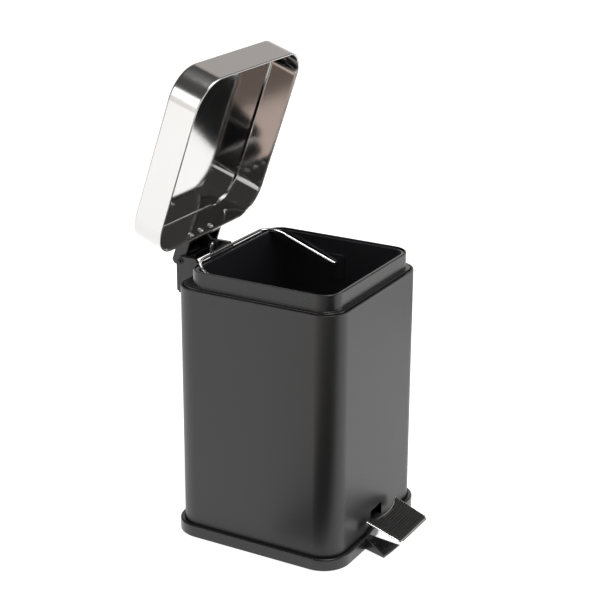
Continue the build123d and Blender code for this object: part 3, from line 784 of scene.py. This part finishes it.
# ------------------------------------------------------------------ sub-assemblies
@dataclass
class Shell:
    """The painted steel body, with a curled top edge and slots for the pedal lever."""

    radius: float = 24 * MM
    wall: float = 0.8 * MM
    curl: float = 2.4 * MM
    curl_round: float = 0.75 * MM
    slot_half: float = 12 * MM
    front_slot: tuple[float, float] = (17.5 * MM, 33 * MM)
    rear_slot: tuple[float, float] = (8.5 * MM, 35.5 * MM)
    curl_depth: float = 1.6 * MM
    curl_taper: float = 0.2 * MM
    cut_reach: float = 3 * MM

    def build(self) -> None:
        """Build and dress the shell."""
        low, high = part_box("body_shell")
        half = high.x
        top = high.z

        def ring(inset: float, z: float) -> Outline:
            return rounded_outline(half - inset, half - inset, self.radius - inset, z)

        outside = [ring(0, low.z)]
        outside += [ring(inset, top - drop) for inset, drop in quarter_round(self.curl_round)]
        lip = self.curl - self.curl_round
        inside = [
            ring(lip + inset, top - drop)
            for inset, drop in [(self.curl_round - i, d) for i, d in reversed(quarter_round(self.curl_round))]
        ]
        under = top - self.curl_depth
        inside += [ring(self.curl, under), ring(self.wall, under - self.curl_taper), ring(self.wall, low.z)]
        piece = loft("body_shell_skin", outside + inside, capped=False)
        cutters = []
        for side, (z0, z1) in ((-1, self.front_slot), (1, self.rear_slot)):
            y = side * half
            first = Vector((-self.slot_half, y - self.cut_reach, z0))
            cutters.append(block(first, Vector((self.slot_half, y + self.cut_reach, z1))))
        cut(piece, cutters)
        dress(settle(piece), POWDER_COAT, Body.BASE, ["body_shell"])


@dataclass
class TopRing:
    """The plastic ring let into the body's top, with its raised collar and inner ledge."""

    radius: float = 21.3 * MM
    flange_rise: float = 1.0 * MM
    skirt: float = 1.6 * MM
    side_inset: float = 6.7 * MM
    front_inset: float = 7.0 * MM
    back_inset: float = 12.6 * MM
    collar_radius: float = 19 * MM
    wall: float = 3.2 * MM
    ledge_wall: float = 1.6 * MM
    ledge_depth: float = 3.5 * MM
    edge: float = 1.0 * MM
    gap: float = 0.6 * MM
    root: float = 0.8 * MM
    inner_edge: float = 0.3 * MM
    flange_depth: float = 3 * MM

    def collar(self, inset: float, z: float) -> Outline:
        """The collar's outline.

        Args:
            inset: how far it is drawn in.
            z: its height.

        Returns:
            The points, in order.
        """
        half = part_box("body_shell")[1].x
        half_y = half - (self.front_inset + self.back_inset) / 2
        y = (self.front_inset - self.back_inset) / 2
        radius = self.collar_radius - inset
        return rounded_outline(half - self.side_inset - inset, half_y - inset, radius, z, y)

    def build(self) -> None:
        """Build and dress the ring."""
        low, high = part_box("top_ring")
        top = high.z
        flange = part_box("body_shell")[1].z + self.flange_rise

        def skirt(inset: float, z: float) -> Outline:
            inset += self.gap
            return rounded_outline(high.x - inset, high.x - inset, self.radius - inset, z)

        rounds = quarter_round(self.edge)
        rings = [skirt(0, low.z)] + [skirt(i, flange - d) for i, d in rounds]
        # a small fillet where the flange meets the collar
        for degrees in (0, 30, 60, 90):
            a = math.radians(degrees)
            rise = self.root * (1 - math.cos(a))
            rings.append(self.collar(self.root * (math.sin(a) - 1), flange + rise))
        rings += [self.collar(i, top - d) for i, d in rounds]
        rings += [self.collar(self.ledge_wall - self.inner_edge, top)]
        rings += [self.collar(self.ledge_wall, top - self.inner_edge)]
        ledge = top - self.ledge_depth
        rings += [self.collar(self.ledge_wall, ledge), self.collar(self.wall, ledge)]
        under = flange - self.flange_depth
        rings += [self.collar(self.wall, under), skirt(self.skirt, under), skirt(self.skirt, low.z)]
        dress(settle(loft("top_ring_skin", rings, capped=False)), SATIN_PLASTIC, Body.BASE, ["top_ring"])


@dataclass
class BaseTray:
    """The plastic base: a ring round the body's foot, a floor, and the toe that stops the bin tipping."""

    radius: float = 29 * MM
    floor: float = 2.5 * MM
    gap: float = 1.0 * MM
    shell_radius: float = 24 * MM
    edge: float = 1.8 * MM
    notch_half: float = 12 * MM
    notch_low: float = 8.5 * MM
    toe_half_root: float = 31 * MM
    toe_half_tip: float = 38.5 * MM
    toe_height: float = 13.6 * MM
    toe_tip_height: float = 2.5 * MM
    toe_bow: float = 2 * MM
    toe_edge: float = 0.9 * MM
    toe_overlap: float = 1.5 * MM
    foot_edge: float = 0.6 * MM
    rim_drop: float = 0.4 * MM
    notch_inwards: float = 10 * MM
    notch_spare: float = 5 * MM

    def build(self) -> None:
        """Build and dress the tray and its toe."""
        low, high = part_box("base_tray")
        half = high.y
        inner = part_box("body_shell")[1].x + self.gap

        def ring(inset: float, z: float) -> Outline:
            return rounded_outline(half - inset, half - inset, self.radius - inset, z)

        rings = [ring(self.foot_edge, low.z), ring(0, low.z + self.foot_edge)]
        rings += [ring(i, high.z - d) for i, d in quarter_round(self.edge)]
        corner = self.shell_radius + self.gap
        for z in (high.z - self.rim_drop, low.z + self.floor):
            rings.append(rounded_outline(inner, inner, corner, z))
        piece = loft("base_tray_skin", rings, capped=True)
        notch = block(
            Vector((-self.notch_half, half - self.notch_inwards, self.notch_low)),
            Vector((self.notch_half, half + self.notch_spare, high.z + self.notch_spare)),
        )
        cut(piece, [notch])
        dress(settle(piece), SATIN_PLASTIC, Body.BASE, ["base_tray"])
        self.build_toe(low, half)

    def build_toe(self, low: Vector, half: float) -> None:
        """Build and dress the sloping toe under the pedal.

        Args:
            low: the base tray's lowest corner.
            half: half the tray's width.
        """
        root = -half + self.toe_overlap
        tip = low.y
        columns = 16

        def toe_outline(inset: float, drop: float, ground: bool) -> Outline:
            points = []
            for row, (y, reach) in enumerate(((root, self.toe_half_root), (tip, self.toe_half_tip))):
                span = [2 * i / columns - 1 for i in range(columns + 1)]
                for s in span if row == 0 else reversed(span):
                    bow = self.toe_bow * s * s if row else 0.0
                    depth = y + bow + (inset if row else 0.0)
                    slope = (depth - tip) / (root - tip)
                    top = self.toe_tip_height + (self.toe_height - self.toe_tip_height) * slope
                    points.append(Vector((s * (reach - inset), depth, low.z if ground else top - drop)))
            return points

        rings = [toe_outline(0, 0, True)]
        rings += [toe_outline(i, d, False) for i, d in quarter_round(self.toe_edge)]
        piece = loft("anti_tip_toe", rings, capped=True)
        dress(settle(piece, 40.0), SATIN_PLASTIC, Body.BASE)


@dataclass
class Bucket:
    """The lift-out bucket with pads for its bail, and the bail itself."""

    rim: float = 2 * MM
    rim_inset: float = 2.0 * MM
    wall_inset: float = 3.8 * MM
    wall: float = 1.8 * MM
    draft: float = 1.5
    pad_half: float = 9 * MM
    pad_thickness: float = 1.2 * MM
    pad_above: float = 9 * MM
    pad_below: float = 18 * MM
    wire: float = 1.5 * MM
    bail_corner: float = 22 * MM
    bail_bend: float = 2.2 * MM
    bail_gap: float = 0.2 * MM
    foot: float = 6 * MM
    rim_edge: float = 0.8 * MM
    seat_rise: float = 0.5 * MM
    pad_corner: float = 3 * MM
    pad_edge: float = 0.3 * MM
    pad_sink: float = 0.7

    def build(self, ring: TopRing) -> None:
        """Build and dress the bucket, its pads and the bail.

        Args:
            ring: the top ring, whose collar the bucket hangs in.
        """
        low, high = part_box("inner_bucket")
        lean = math.tan(math.radians(self.draft))

        def wall(inset: float, z: float) -> Outline:
            return ring.collar(inset + (high.z - self.rim - z) * lean, z)

        seat = high.z - self.rim
        turns = [math.radians(15 * k) for k in range(7)]
        corner = [(self.foot * (1 - math.sin(a)), self.foot * (1 - math.cos(a))) for a in turns]
        rings = [wall(self.wall_inset + i, low.z + d) for i, d in corner]
        rings += [wall(self.wall_inset, seat - self.seat_rise), ring.collar(self.rim_inset, seat)]
        rings += [ring.collar(self.rim_inset + i, high.z - d) for i, d in quarter_round(self.rim_edge)]
        inside = self.wall_inset + self.wall
        rings += [ring.collar(inside - self.rim_edge, high.z), ring.collar(inside, high.z - self.rim_edge)]
        rings += [wall(inside + i, low.z + self.wall + d) for i, d in reversed(corner)]
        dress(settle(loft("bucket_skin", rings, capped=True)), GLOSS_PLASTIC, Body.BUCKET, ["inner_bucket"])
        self.build_pads()
        self.build_bail()

    def pivot(self) -> Vector:
        """Where the bail turns.

        Returns:
            The point on the centre plane.
        """
        joint = next(j for j in FRAME["joints"] if j["name"] == "bail_swing")
        return Vector(joint["pos_m"])

    def build_pads(self) -> None:
        """Build and dress the two pads on the bucket's side walls."""
        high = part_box("inner_bucket")[1]
        at = self.pivot()
        face = self.pad_face(high.z - self.rim - at.z)
        work = bmesh.new()
        for side in (-1, 1):
            made = bmesh.ops.create_cube(work, size=1.0)["verts"]
            depth = self.pad_thickness + self.wall * self.pad_sink
            height = self.pad_above + self.pad_below
            bmesh.ops.scale(work, vec=(depth, 2 * self.pad_half, height), verts=made)
            centre = Vector((side * (face + depth / 2), at.y, at.z + (self.pad_above - self.pad_below) / 2))
            bmesh.ops.translate(work, vec=centre, verts=made)
            # the corners' edges run along X, into the wall
            edges = {e for v in made for e in v.link_edges}
            corners = [e for e in edges if abs(e.verts[0].co.x - e.verts[1].co.x) > depth / 2]
            bmesh.ops.bevel(
                work, geom=corners, offset=self.pad_corner, segments=6, affect="EDGES", profile=0.5
            )
        piece = new_object("bucket_bail_pads", work)
        soft = piece.modifiers.new("edges", "BEVEL")
        soft.width = self.pad_edge
        soft.segments = 2
        dress(settle(piece), GLOSS_PLASTIC, Body.BUCKET)

    def pad_face(self, rise: float) -> float:
        """How far from the centre plane the pads' inner faces are.

        Args:
            rise: how far the bail's pivot is below the bucket's seat.

        Returns:
            The distance.
        """
        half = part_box("body_shell")[1].x - TopRing.side_inset
        lean = math.tan(math.radians(self.draft))
        return half - self.wall_inset - self.wall - lean * rise - self.pad_thickness

    def build_bail(self) -> None:
        """Build and dress the wire bail, lying back on the collar."""
        at = self.pivot()
        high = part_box("bail_handle")[1]
        tip = high.x
        face = self.pad_face(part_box("inner_bucket")[1].z - self.rim - at.z)
        arm = face - self.bail_bend - self.bail_gap
        back = Vector((0, high.y - self.wire, high.z - self.wire))
        points = [Vector((-tip, at.y, at.z)), Vector((-arm, at.y, at.z)), Vector((-arm, back.y, back.z))]
        points += [Vector((-p.x, p.y, p.z)) for p in reversed(points)]
        corner_radii = [0.0, self.bail_bend, self.bail_corner, self.bail_corner, self.bail_bend, 0.0]
        piece = wire("bail_wire", rounded_path(points, corner_radii), self.wire, CHROME_WIRE)
        dress(piece, CHROME_WIRE, Body.BAIL, ["bail_handle"])


def rounded_path(points: Sequence[Vector], radii: Sequence[float], steps: int = 10) -> list[Vector]:
    """Round each inner corner of a path with an arc of its own radius.

    Args:
        points: the path's corners.
        radii: a radius for each corner; the two ends' are not used.
        steps: segments in each arc.

    Returns:
        The rounded path.
    """
    path = [points[0]]
    for before, corner, after, radius in zip(points, points[1:], points[2:], radii[1:]):
        a = (before - corner).normalized()
        b = (after - corner).normalized()
        half = a.angle(b) / 2
        along = radius / math.tan(half)
        centre = corner + (a + b).normalized() * (radius / math.sin(half))
        first = corner + a * along - centre
        last = corner + b * along - centre
        turn = first.angle(last)
        for step in range(steps + 1):
            t = step / steps
            mix = (math.sin((1 - t) * turn) * first + math.sin(t * turn) * last) / math.sin(turn)
            path.append(centre + mix)
    path.append(points[-1])
    return path


@dataclass
class Lid:
    """The steel lid, made closed and turned open about its hinge, with its arm and screws."""

    depth: float = 33 * MM
    radius: float = 32 * MM
    edge: float = 3 * MM
    wall: float = 0.8 * MM
    hem: float = 2.2 * MM
    hem_height: float = 3.2 * MM
    lift: float = 3 * MM
    screw_pitch: float = 18 * MM
    screw_rise: float = 7.5 * MM
    screw_radius: float = 3.1 * MM
    screw_slot: float = 0.8 * MM
    dome: float = 0.6
    hem_taper: float = 0.4 * MM

    def turn(self) -> Matrix:
        """The turn about the hinge that opens a closed lid to its rest pose.

        Returns:
            The turn as a matrix.
        """
        joint = next(j for j in FRAME["joints"] if j["name"] == "lid_hinge")
        at = Vector(joint["pos_m"])
        opened = math.radians(joint["range_deg"][0])
        return Matrix.Translation(at) @ Matrix.Rotation(opened, 4, "X") @ Matrix.Translation(-at)

    def build(self) -> None:
        """Build and dress the lid, its arm and its screws."""
        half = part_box("lid_shell")[1].x
        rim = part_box("body_shell")[1].z + self.lift
        top = rim + self.depth

        def ring(inset: float, z: float) -> Outline:
            return rounded_outline(half - inset, half - inset, self.radius - inset, z, steps=20)

        rings = [ring(i, top - d) for i, d in reversed(quarter_round(self.edge, 8))]
        hem = self.hem / 2
        for k in range(7):
            a = math.radians(30 * k)
            rings.append(ring(hem - hem * math.cos(a), rim + hem - hem * math.sin(a)))
        outside = len(rings)
        hem_top = rim + self.hem_height
        rings += [ring(self.hem, hem_top), ring(self.wall, hem_top + self.hem_taper)]
        inner = self.edge - self.wall
        rings += [ring(self.wall + i, top - self.wall - d) for i, d in quarter_round(inner, 8)]
        piece = loft("lid_skin", rings, capped=True)
        inside = piece.data.attributes.new("inside", "FLOAT", "POINT")
        per_ring = len(rings[0])
        for index, value in enumerate(inside.data):
            value.value = float(index >= outside * per_ring)
        piece.data.transform(self.turn())
        dress(settle(piece), LID_STEEL, Body.LID, ["lid_shell"])
        dress(softened("lid_arm", 0.6), SATIN_PLASTIC, Body.LID, ["lid_arm"])
        self.build_screws(half, rim)

    def build_screws(self, half: float, rim: float) -> None:
        """Build and dress the row of domed screws inside the lid's back skirt.

        Args:
            half: half the lid's width.
            rim: the height of the closed lid's rim.
        """
        values = {
            "Count": 3,
            "Pitch": self.screw_pitch,
            "Head Radius": self.screw_radius,
            "Dome": self.dome,
            "Slot": self.screw_slot,
            "Material": ZINC.material(),
        }
        piece = grown("lid_screw_heads", screw_tree(), values)
        start = Vector((-self.screw_pitch, half - self.wall, rim + self.screw_rise))
        piece.data.transform(self.turn() @ Matrix.Translation(start))
        dress(piece, ZINC, Body.LID, ["lid_screws"])


@dataclass
class Tread:
    """The pedal's chrome cover and its studded rubber pad."""

    inner_half: float = 32.4 * MM
    outer_half: float = 30.6 * MM
    slope: float = 20.0
    bow: float = 6 * MM
    corner: float = 4 * MM
    wall: float = 1.2 * MM
    edge: float = 0.9 * MM
    bottom_inner: float = 19.5 * MM
    bottom_outer: float = 15.0 * MM
    pad_inset: float = 1.5 * MM
    pad_base: float = 0.8 * MM
    stud_height: float = 1.2 * MM
    stud_pitch: float = 2.5 * MM
    stud_share: float = 0.66
    stud_margin: float = 1.7 * MM
    stud_bow: float = 1.06
    pad_sink: float = 0.1 * MM
    pad_edge: float = 0.5 * MM
    mouth_half: float = 12 * MM
    mouth_inwards: float = 10 * MM
    mouth_spare: float = 3 * MM

    def outline(self, inset: float, height: Callable[[float], float]) -> Outline:
        """The tread's outline at a height that changes along it.

        Args:
            inset: how far it is drawn in.
            height: the height for each place along Y.

        Returns:
            The points, in order.
        """
        low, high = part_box("pedal_cover")
        back, front = high.y - inset, low.y + inset
        inner, outer = self.inner_half - inset, self.outer_half - inset
        corner = max(self.corner - inset / 2, 0.5 * MM)
        flat: list[tuple[float, float]] = []
        for k in range(25):
            s = 1 - k / 12
            flat.append((s * inner, back - self.bow * (1 - s * s)))
        for side in (-1, 1):
            sweep = range(9) if side < 0 else range(8, -1, -1)
            for k in sweep:
                a = math.radians(90 * k / 8)
                x = outer - corner + corner * math.cos(a)
                flat.append((side * x, front + corner - corner * math.sin(a)))
        return [Vector((x, y, height(y))) for x, y in flat]

    def top(self, y: float) -> float:
        """Height of the cover's sloping top.

        Args:
            y: the place along Y.

        Returns:
            The height.
        """
        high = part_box("pedal_cover")[1]
        return high.z + (y - high.y) * math.tan(math.radians(self.slope))

    def under(self, y: float) -> float:
        """Height of the cover's lower edge.

        Args:
            y: the place along Y.

        Returns:
            The height.
        """
        low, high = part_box("pedal_cover")
        share = (high.y - y) / (high.y - low.y)
        return self.bottom_inner + (self.bottom_outer - self.bottom_inner) * share

    def build(self) -> None:
        """Build and dress the cover, the pad and its studs."""
        rings = [self.outline(self.wall, lambda y: self.top(y) - self.wall)]
        rings += [self.outline(self.wall, self.under), self.outline(0, self.under)]
        for inset, drop in quarter_round(self.edge):
            rings.append(self.outline(inset, lambda y, d=drop: self.top(y) - d))
        cover = loft("tread_cover_skin", rings, capped=True)
        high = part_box("pedal_cover")[1]
        mouth = block(
            Vector((-self.mouth_half, high.y - self.mouth_inwards, 0)),
            Vector((self.mouth_half, high.y + self.mouth_spare, self.top(high.y - 2 * self.bow) - self.wall)),
        )
        cut(cover, [mouth])
        dress(settle(cover, 40.0), CHROME_PLATE, Body.PEDAL, ["pedal_cover"])
        pad = [self.outline(self.pad_inset, lambda y: self.top(y) - self.pad_sink)]
        for inset, drop in quarter_round(self.pad_edge, 3):
            rise = self.pad_base - drop
            pad.append(self.outline(self.pad_inset + inset, lambda y, r=rise: self.top(y) + r))
        base = loft("tread_pad_skin", pad, capped=True)
        dress(settle(base, 40.0), TREAD_RUBBER, Body.PEDAL, ["pedal_pad"])
        self.build_studs()

    def build_studs(self) -> None:
        """Build and dress the square studs on the pad."""
        low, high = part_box("pedal_cover")
        margin = self.pad_inset + self.stud_margin
        width = 2 * (self.outer_half - margin)
        depth = (high.y - low.y - 2 * margin) / math.cos(math.radians(self.slope))
        values = {
            "Columns": round(width / self.stud_pitch) + 1,
            "Rows": round(depth / self.stud_pitch) + 1,
            "Width": width,
            "Depth": depth,
            "Stud": self.stud_pitch * self.stud_share,
            "Height": self.stud_height,
            "Bow": self.bow * self.stud_bow,
            "Material": TREAD_RUBBER.material(),
        }
        piece = grown("tread_studs", stud_tree(), values, sharp_degrees=20.0)
        y = (low.y + high.y) / 2
        place = Matrix.Translation(Vector((0, y, self.top(y) + self.pad_base)))
        piece.data.transform(place @ Matrix.Rotation(math.radians(self.slope), 4, "X"))
        dress(piece, TREAD_RUBBER, Body.PEDAL)


@dataclass
class Hardware:
    """The small steel, plastic and rubber pieces that are kept as they are packed, with rounded edges."""

    soft: tuple[tuple[str, Finish, Body, float], ...] = (
        ("hinge_bracket", SATIN_PLASTIC, Body.BASE, 0.6),
        ("pedal_lever", ZINC, Body.PEDAL, 0.3),
        ("pivot_bracket", ZINC, Body.BASE, 0.3),
        ("rod_guide", NYLON, Body.BASE, 0.2),
        ("bracket_nuts", ZINC, Body.BASE, 0.2),
    )
    kept: tuple[tuple[str, Finish], ...] = (
        ("rubber_feet", RUBBER),
        ("hinge_pin", BLACK_OXIDE),
        ("hinge_clips", BLACK_OXIDE),
        ("bracket_screws", ZINC),
        ("pivot_pin", ZINC),
        ("pivot_clips", ZINC),
        ("pivot_washers", NYLON),
        ("bracket_rivets", ZINC),
        ("tread_screws", ZINC),
        ("push_rod", ZINC),
        ("rod_clips", ZINC),
    )

    def build(self) -> None:
        """Round the larger pieces' edges and give all of them their finishes."""
        for node, finish, body, width in self.soft:
            dress(softened(node, width), finish, body, [node])
        for node, finish in self.kept:
            data = FRAME["nodes"][node].data
            data.materials.clear()
            data.materials.append(finish.material())
            LOG.info("%s: packed mesh with a finish", node)


# ------------------------------------------------------------------ camera, light and floor
@dataclass(frozen=True)
class Card:
    """A flat card that only shows in reflections.

    It is size wide and high round the point at, and faces the point towards. Its color is the light
    that it sends out; black is a dark card.
    """

    name: str
    at: tuple[float, float, float]
    towards: tuple[float, float, float]
    size: tuple[float, float]
    color: Color

    def build(self) -> None:
        """Build the card."""
        work = bmesh.new()
        bmesh.ops.create_grid(work, x_segments=1, y_segments=1, size=0.5)
        bmesh.ops.scale(work, vec=(*self.size, 1), verts=work.verts)
        at = Vector(self.at)
        facing = (Vector(self.towards) - at).to_track_quat("Z", "Y").to_matrix().to_4x4()
        work.transform(Matrix.Translation(at) @ facing)
        piece = new_object(self.name, work)
        settings = {
            "Base Color": (0, 0, 0, 1),
            "Roughness": 1.0,
            "Specular IOR Level": 0.0,
            "Emission Color": (*self.color, 1),
            "Emission Strength": 1.0,
        }
        piece.data.materials.append(new_material(self.name, settings)[0])
        piece.visible_camera = False
        piece.visible_shadow = False


@dataclass(frozen=True)
class Lamp:
    """A soft square or rectangular lamp of so many watts that faces the object's middle."""

    name: str
    at: tuple[float, float, float]
    size: tuple[float, float]
    watts: float

    def build(self) -> None:
        """Build the lamp."""
        data = bpy.data.lights.new(self.name, "AREA")
        data.shape = "RECTANGLE"
        data.size, data.size_y = self.size
        data.energy = self.watts
        made = bpy.data.objects.new(self.name, data)
        made.location = self.at
        made.rotation_mode = "QUATERNION"
        made.rotation_quaternion = (Vector(MIDDLE) - Vector(self.at)).to_track_quat("-Z", "Y")
        bpy.context.scene.collection.objects.link(made)


MIDDLE = (0.0, 0.0, 0.2)
OPEN_LID = (0.0, 0.08, 0.38)
LAMPS = (
    Lamp("softbox_left", (-2.2, 1.1, 1.0), (1.6, 1.6), 16),
    Lamp("softbox_front", (1.2, -2.3, 0.9), (1.4, 1.6), 22),
    Lamp("softbox_top", (-0.1, -0.6, 2.4), (1.2, 1.2), 28),
)
CARDS = (
    Card("card_back_left", (-1.7, 1.7, 0.6), MIDDLE, (2.0, 1.8), (1.0, 0.97, 0.94)),
    Card("card_back_right", (1.7, 0.55, 0.75), MIDDLE, (2.0, 1.3), (0.95, 0.93, 0.9)),
    Card("card_high_right", (1.3, 0.5, 1.3), OPEN_LID, (1.6, 0.9), (0.52, 0.49, 0.47)),
    Card("dark_floor_front", (-0.46, -0.66, 0.004), (-0.46, -0.66, 1.0), (0.66, 1.32), (0.0, 0.0, 0.0)),
    Card("dark_floor_right", (0.7, 0.0, 0.004), (0.7, 0.0, 1.0), (0.2, 0.6), (0.01, 0.01, 0.01)),
    Card("warm_floor_left", (-0.62, 0.02, 0.006), (-0.62, 0.02, 1.0), (0.4, 0.26), (0.9, 0.74, 0.66)),
    Card("brown_floor_left", (-0.62, -0.2, 0.006), (-0.62, -0.2, 1.0), (0.5, 0.16), (0.24, 0.19, 0.16)),
)


@dataclass
class Studio:
    """A pale studio: world, floor, lamps, the cards that the steel mirrors, and the camera."""

    camera_at: tuple[float, float, float] = (-1.3052, -0.7348, 0.7793)
    azimuth: float = -60.67
    elevation: float = 19.92
    roll: float = 0.24
    lens: float = 97.13
    sensor: float = 36.0
    floor_size: float = 6.0
    backdrop: float = 1.0
    surround: float = 0.07

    def build(self) -> None:
        """Build the floor, the lights and the camera."""
        self.build_world()
        self.build_floor()
        for piece in (*LAMPS, *CARDS):
            piece.build()
        self.build_camera()

    def build_world(self) -> None:
        """White behind the object and a softer grey wherever it is mirrored."""
        world = bpy.data.worlds.new("studio")
        bpy.context.scene.world = world
        world.use_nodes = True
        t = NodeTree(world.node_tree)
        world.node_tree.nodes.clear()
        out = t.add("ShaderNodeOutputWorld")
        white = t.add("ShaderNodeBackground", in_Color=(1, 1, 1, 1), in_Strength=self.backdrop)
        grey = t.add("ShaderNodeBackground", in_Color=(1, 0.99, 0.98, 1), in_Strength=self.surround)
        path = t.add("ShaderNodeLightPath")
        mix = t.add("ShaderNodeMixShader")
        sources = (path.outputs["Is Camera Ray"], grey.outputs[0], white.outputs[0])
        for target, source in zip(mix.inputs, sources):
            t.feed(target, source)
        t.feed(out.inputs["Surface"], mix.outputs[0])

    def build_floor(self) -> None:
        """A large pale floor."""
        work = bmesh.new()
        bmesh.ops.create_grid(work, x_segments=1, y_segments=1, size=self.floor_size)
        floor = new_object("floor", work)
        settings = {
            "Base Color": (0.75, 0.75, 0.75, 1),
            "Roughness": 0.9,
            "Emission Color": (1, 1, 1, 1),
            "Emission Strength": 0.86,
        }
        floor.data.materials.append(new_material("floor_white", settings)[0])

    def build_camera(self) -> None:
        """Build the camera from its bearing, its height above the horizon and its roll, in degrees."""
        a, e = math.radians(self.azimuth), math.radians(self.elevation)
        back = Vector((math.sin(a) * math.cos(e), -math.cos(a) * math.cos(e), math.sin(e)))
        right = (-back).cross(Vector((0, 0, 1))).normalized()
        up = right.cross(-back)
        r = math.radians(self.roll)
        right, up = right * math.cos(r) + up * math.sin(r), up * math.cos(r) - right * math.sin(r)
        data = bpy.data.cameras.new("camera")
        data.lens = self.lens
        data.sensor_width = self.sensor
        camera = bpy.data.objects.new("camera", data)
        turn = Matrix((right, up, back)).transposed().to_4x4()
        camera.matrix_world = Matrix.Translation(Vector(self.camera_at)) @ turn
        bpy.context.scene.collection.objects.link(camera)
        bpy.context.scene.camera = camera
        bpy.context.scene.view_settings.view_transform = "Standard"


with open("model.json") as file:
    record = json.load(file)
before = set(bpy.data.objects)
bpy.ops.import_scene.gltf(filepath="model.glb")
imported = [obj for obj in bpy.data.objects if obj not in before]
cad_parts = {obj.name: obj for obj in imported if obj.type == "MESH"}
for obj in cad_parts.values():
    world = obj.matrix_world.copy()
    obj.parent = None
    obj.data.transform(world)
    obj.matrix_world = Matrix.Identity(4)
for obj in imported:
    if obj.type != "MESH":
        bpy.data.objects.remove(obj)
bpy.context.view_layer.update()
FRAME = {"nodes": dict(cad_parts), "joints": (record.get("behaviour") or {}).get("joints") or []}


def main() -> None:
    logging.basicConfig(level=logging.INFO, format="%(message)s")
    ring = TopRing()
    Studio().build()
    Shell().build()
    ring.build()
    BaseTray().build()
    Bucket().build(ring)
    Lid().build()
    Tread().build()
    Hardware().build()


if __name__ == "__main__":
    main()
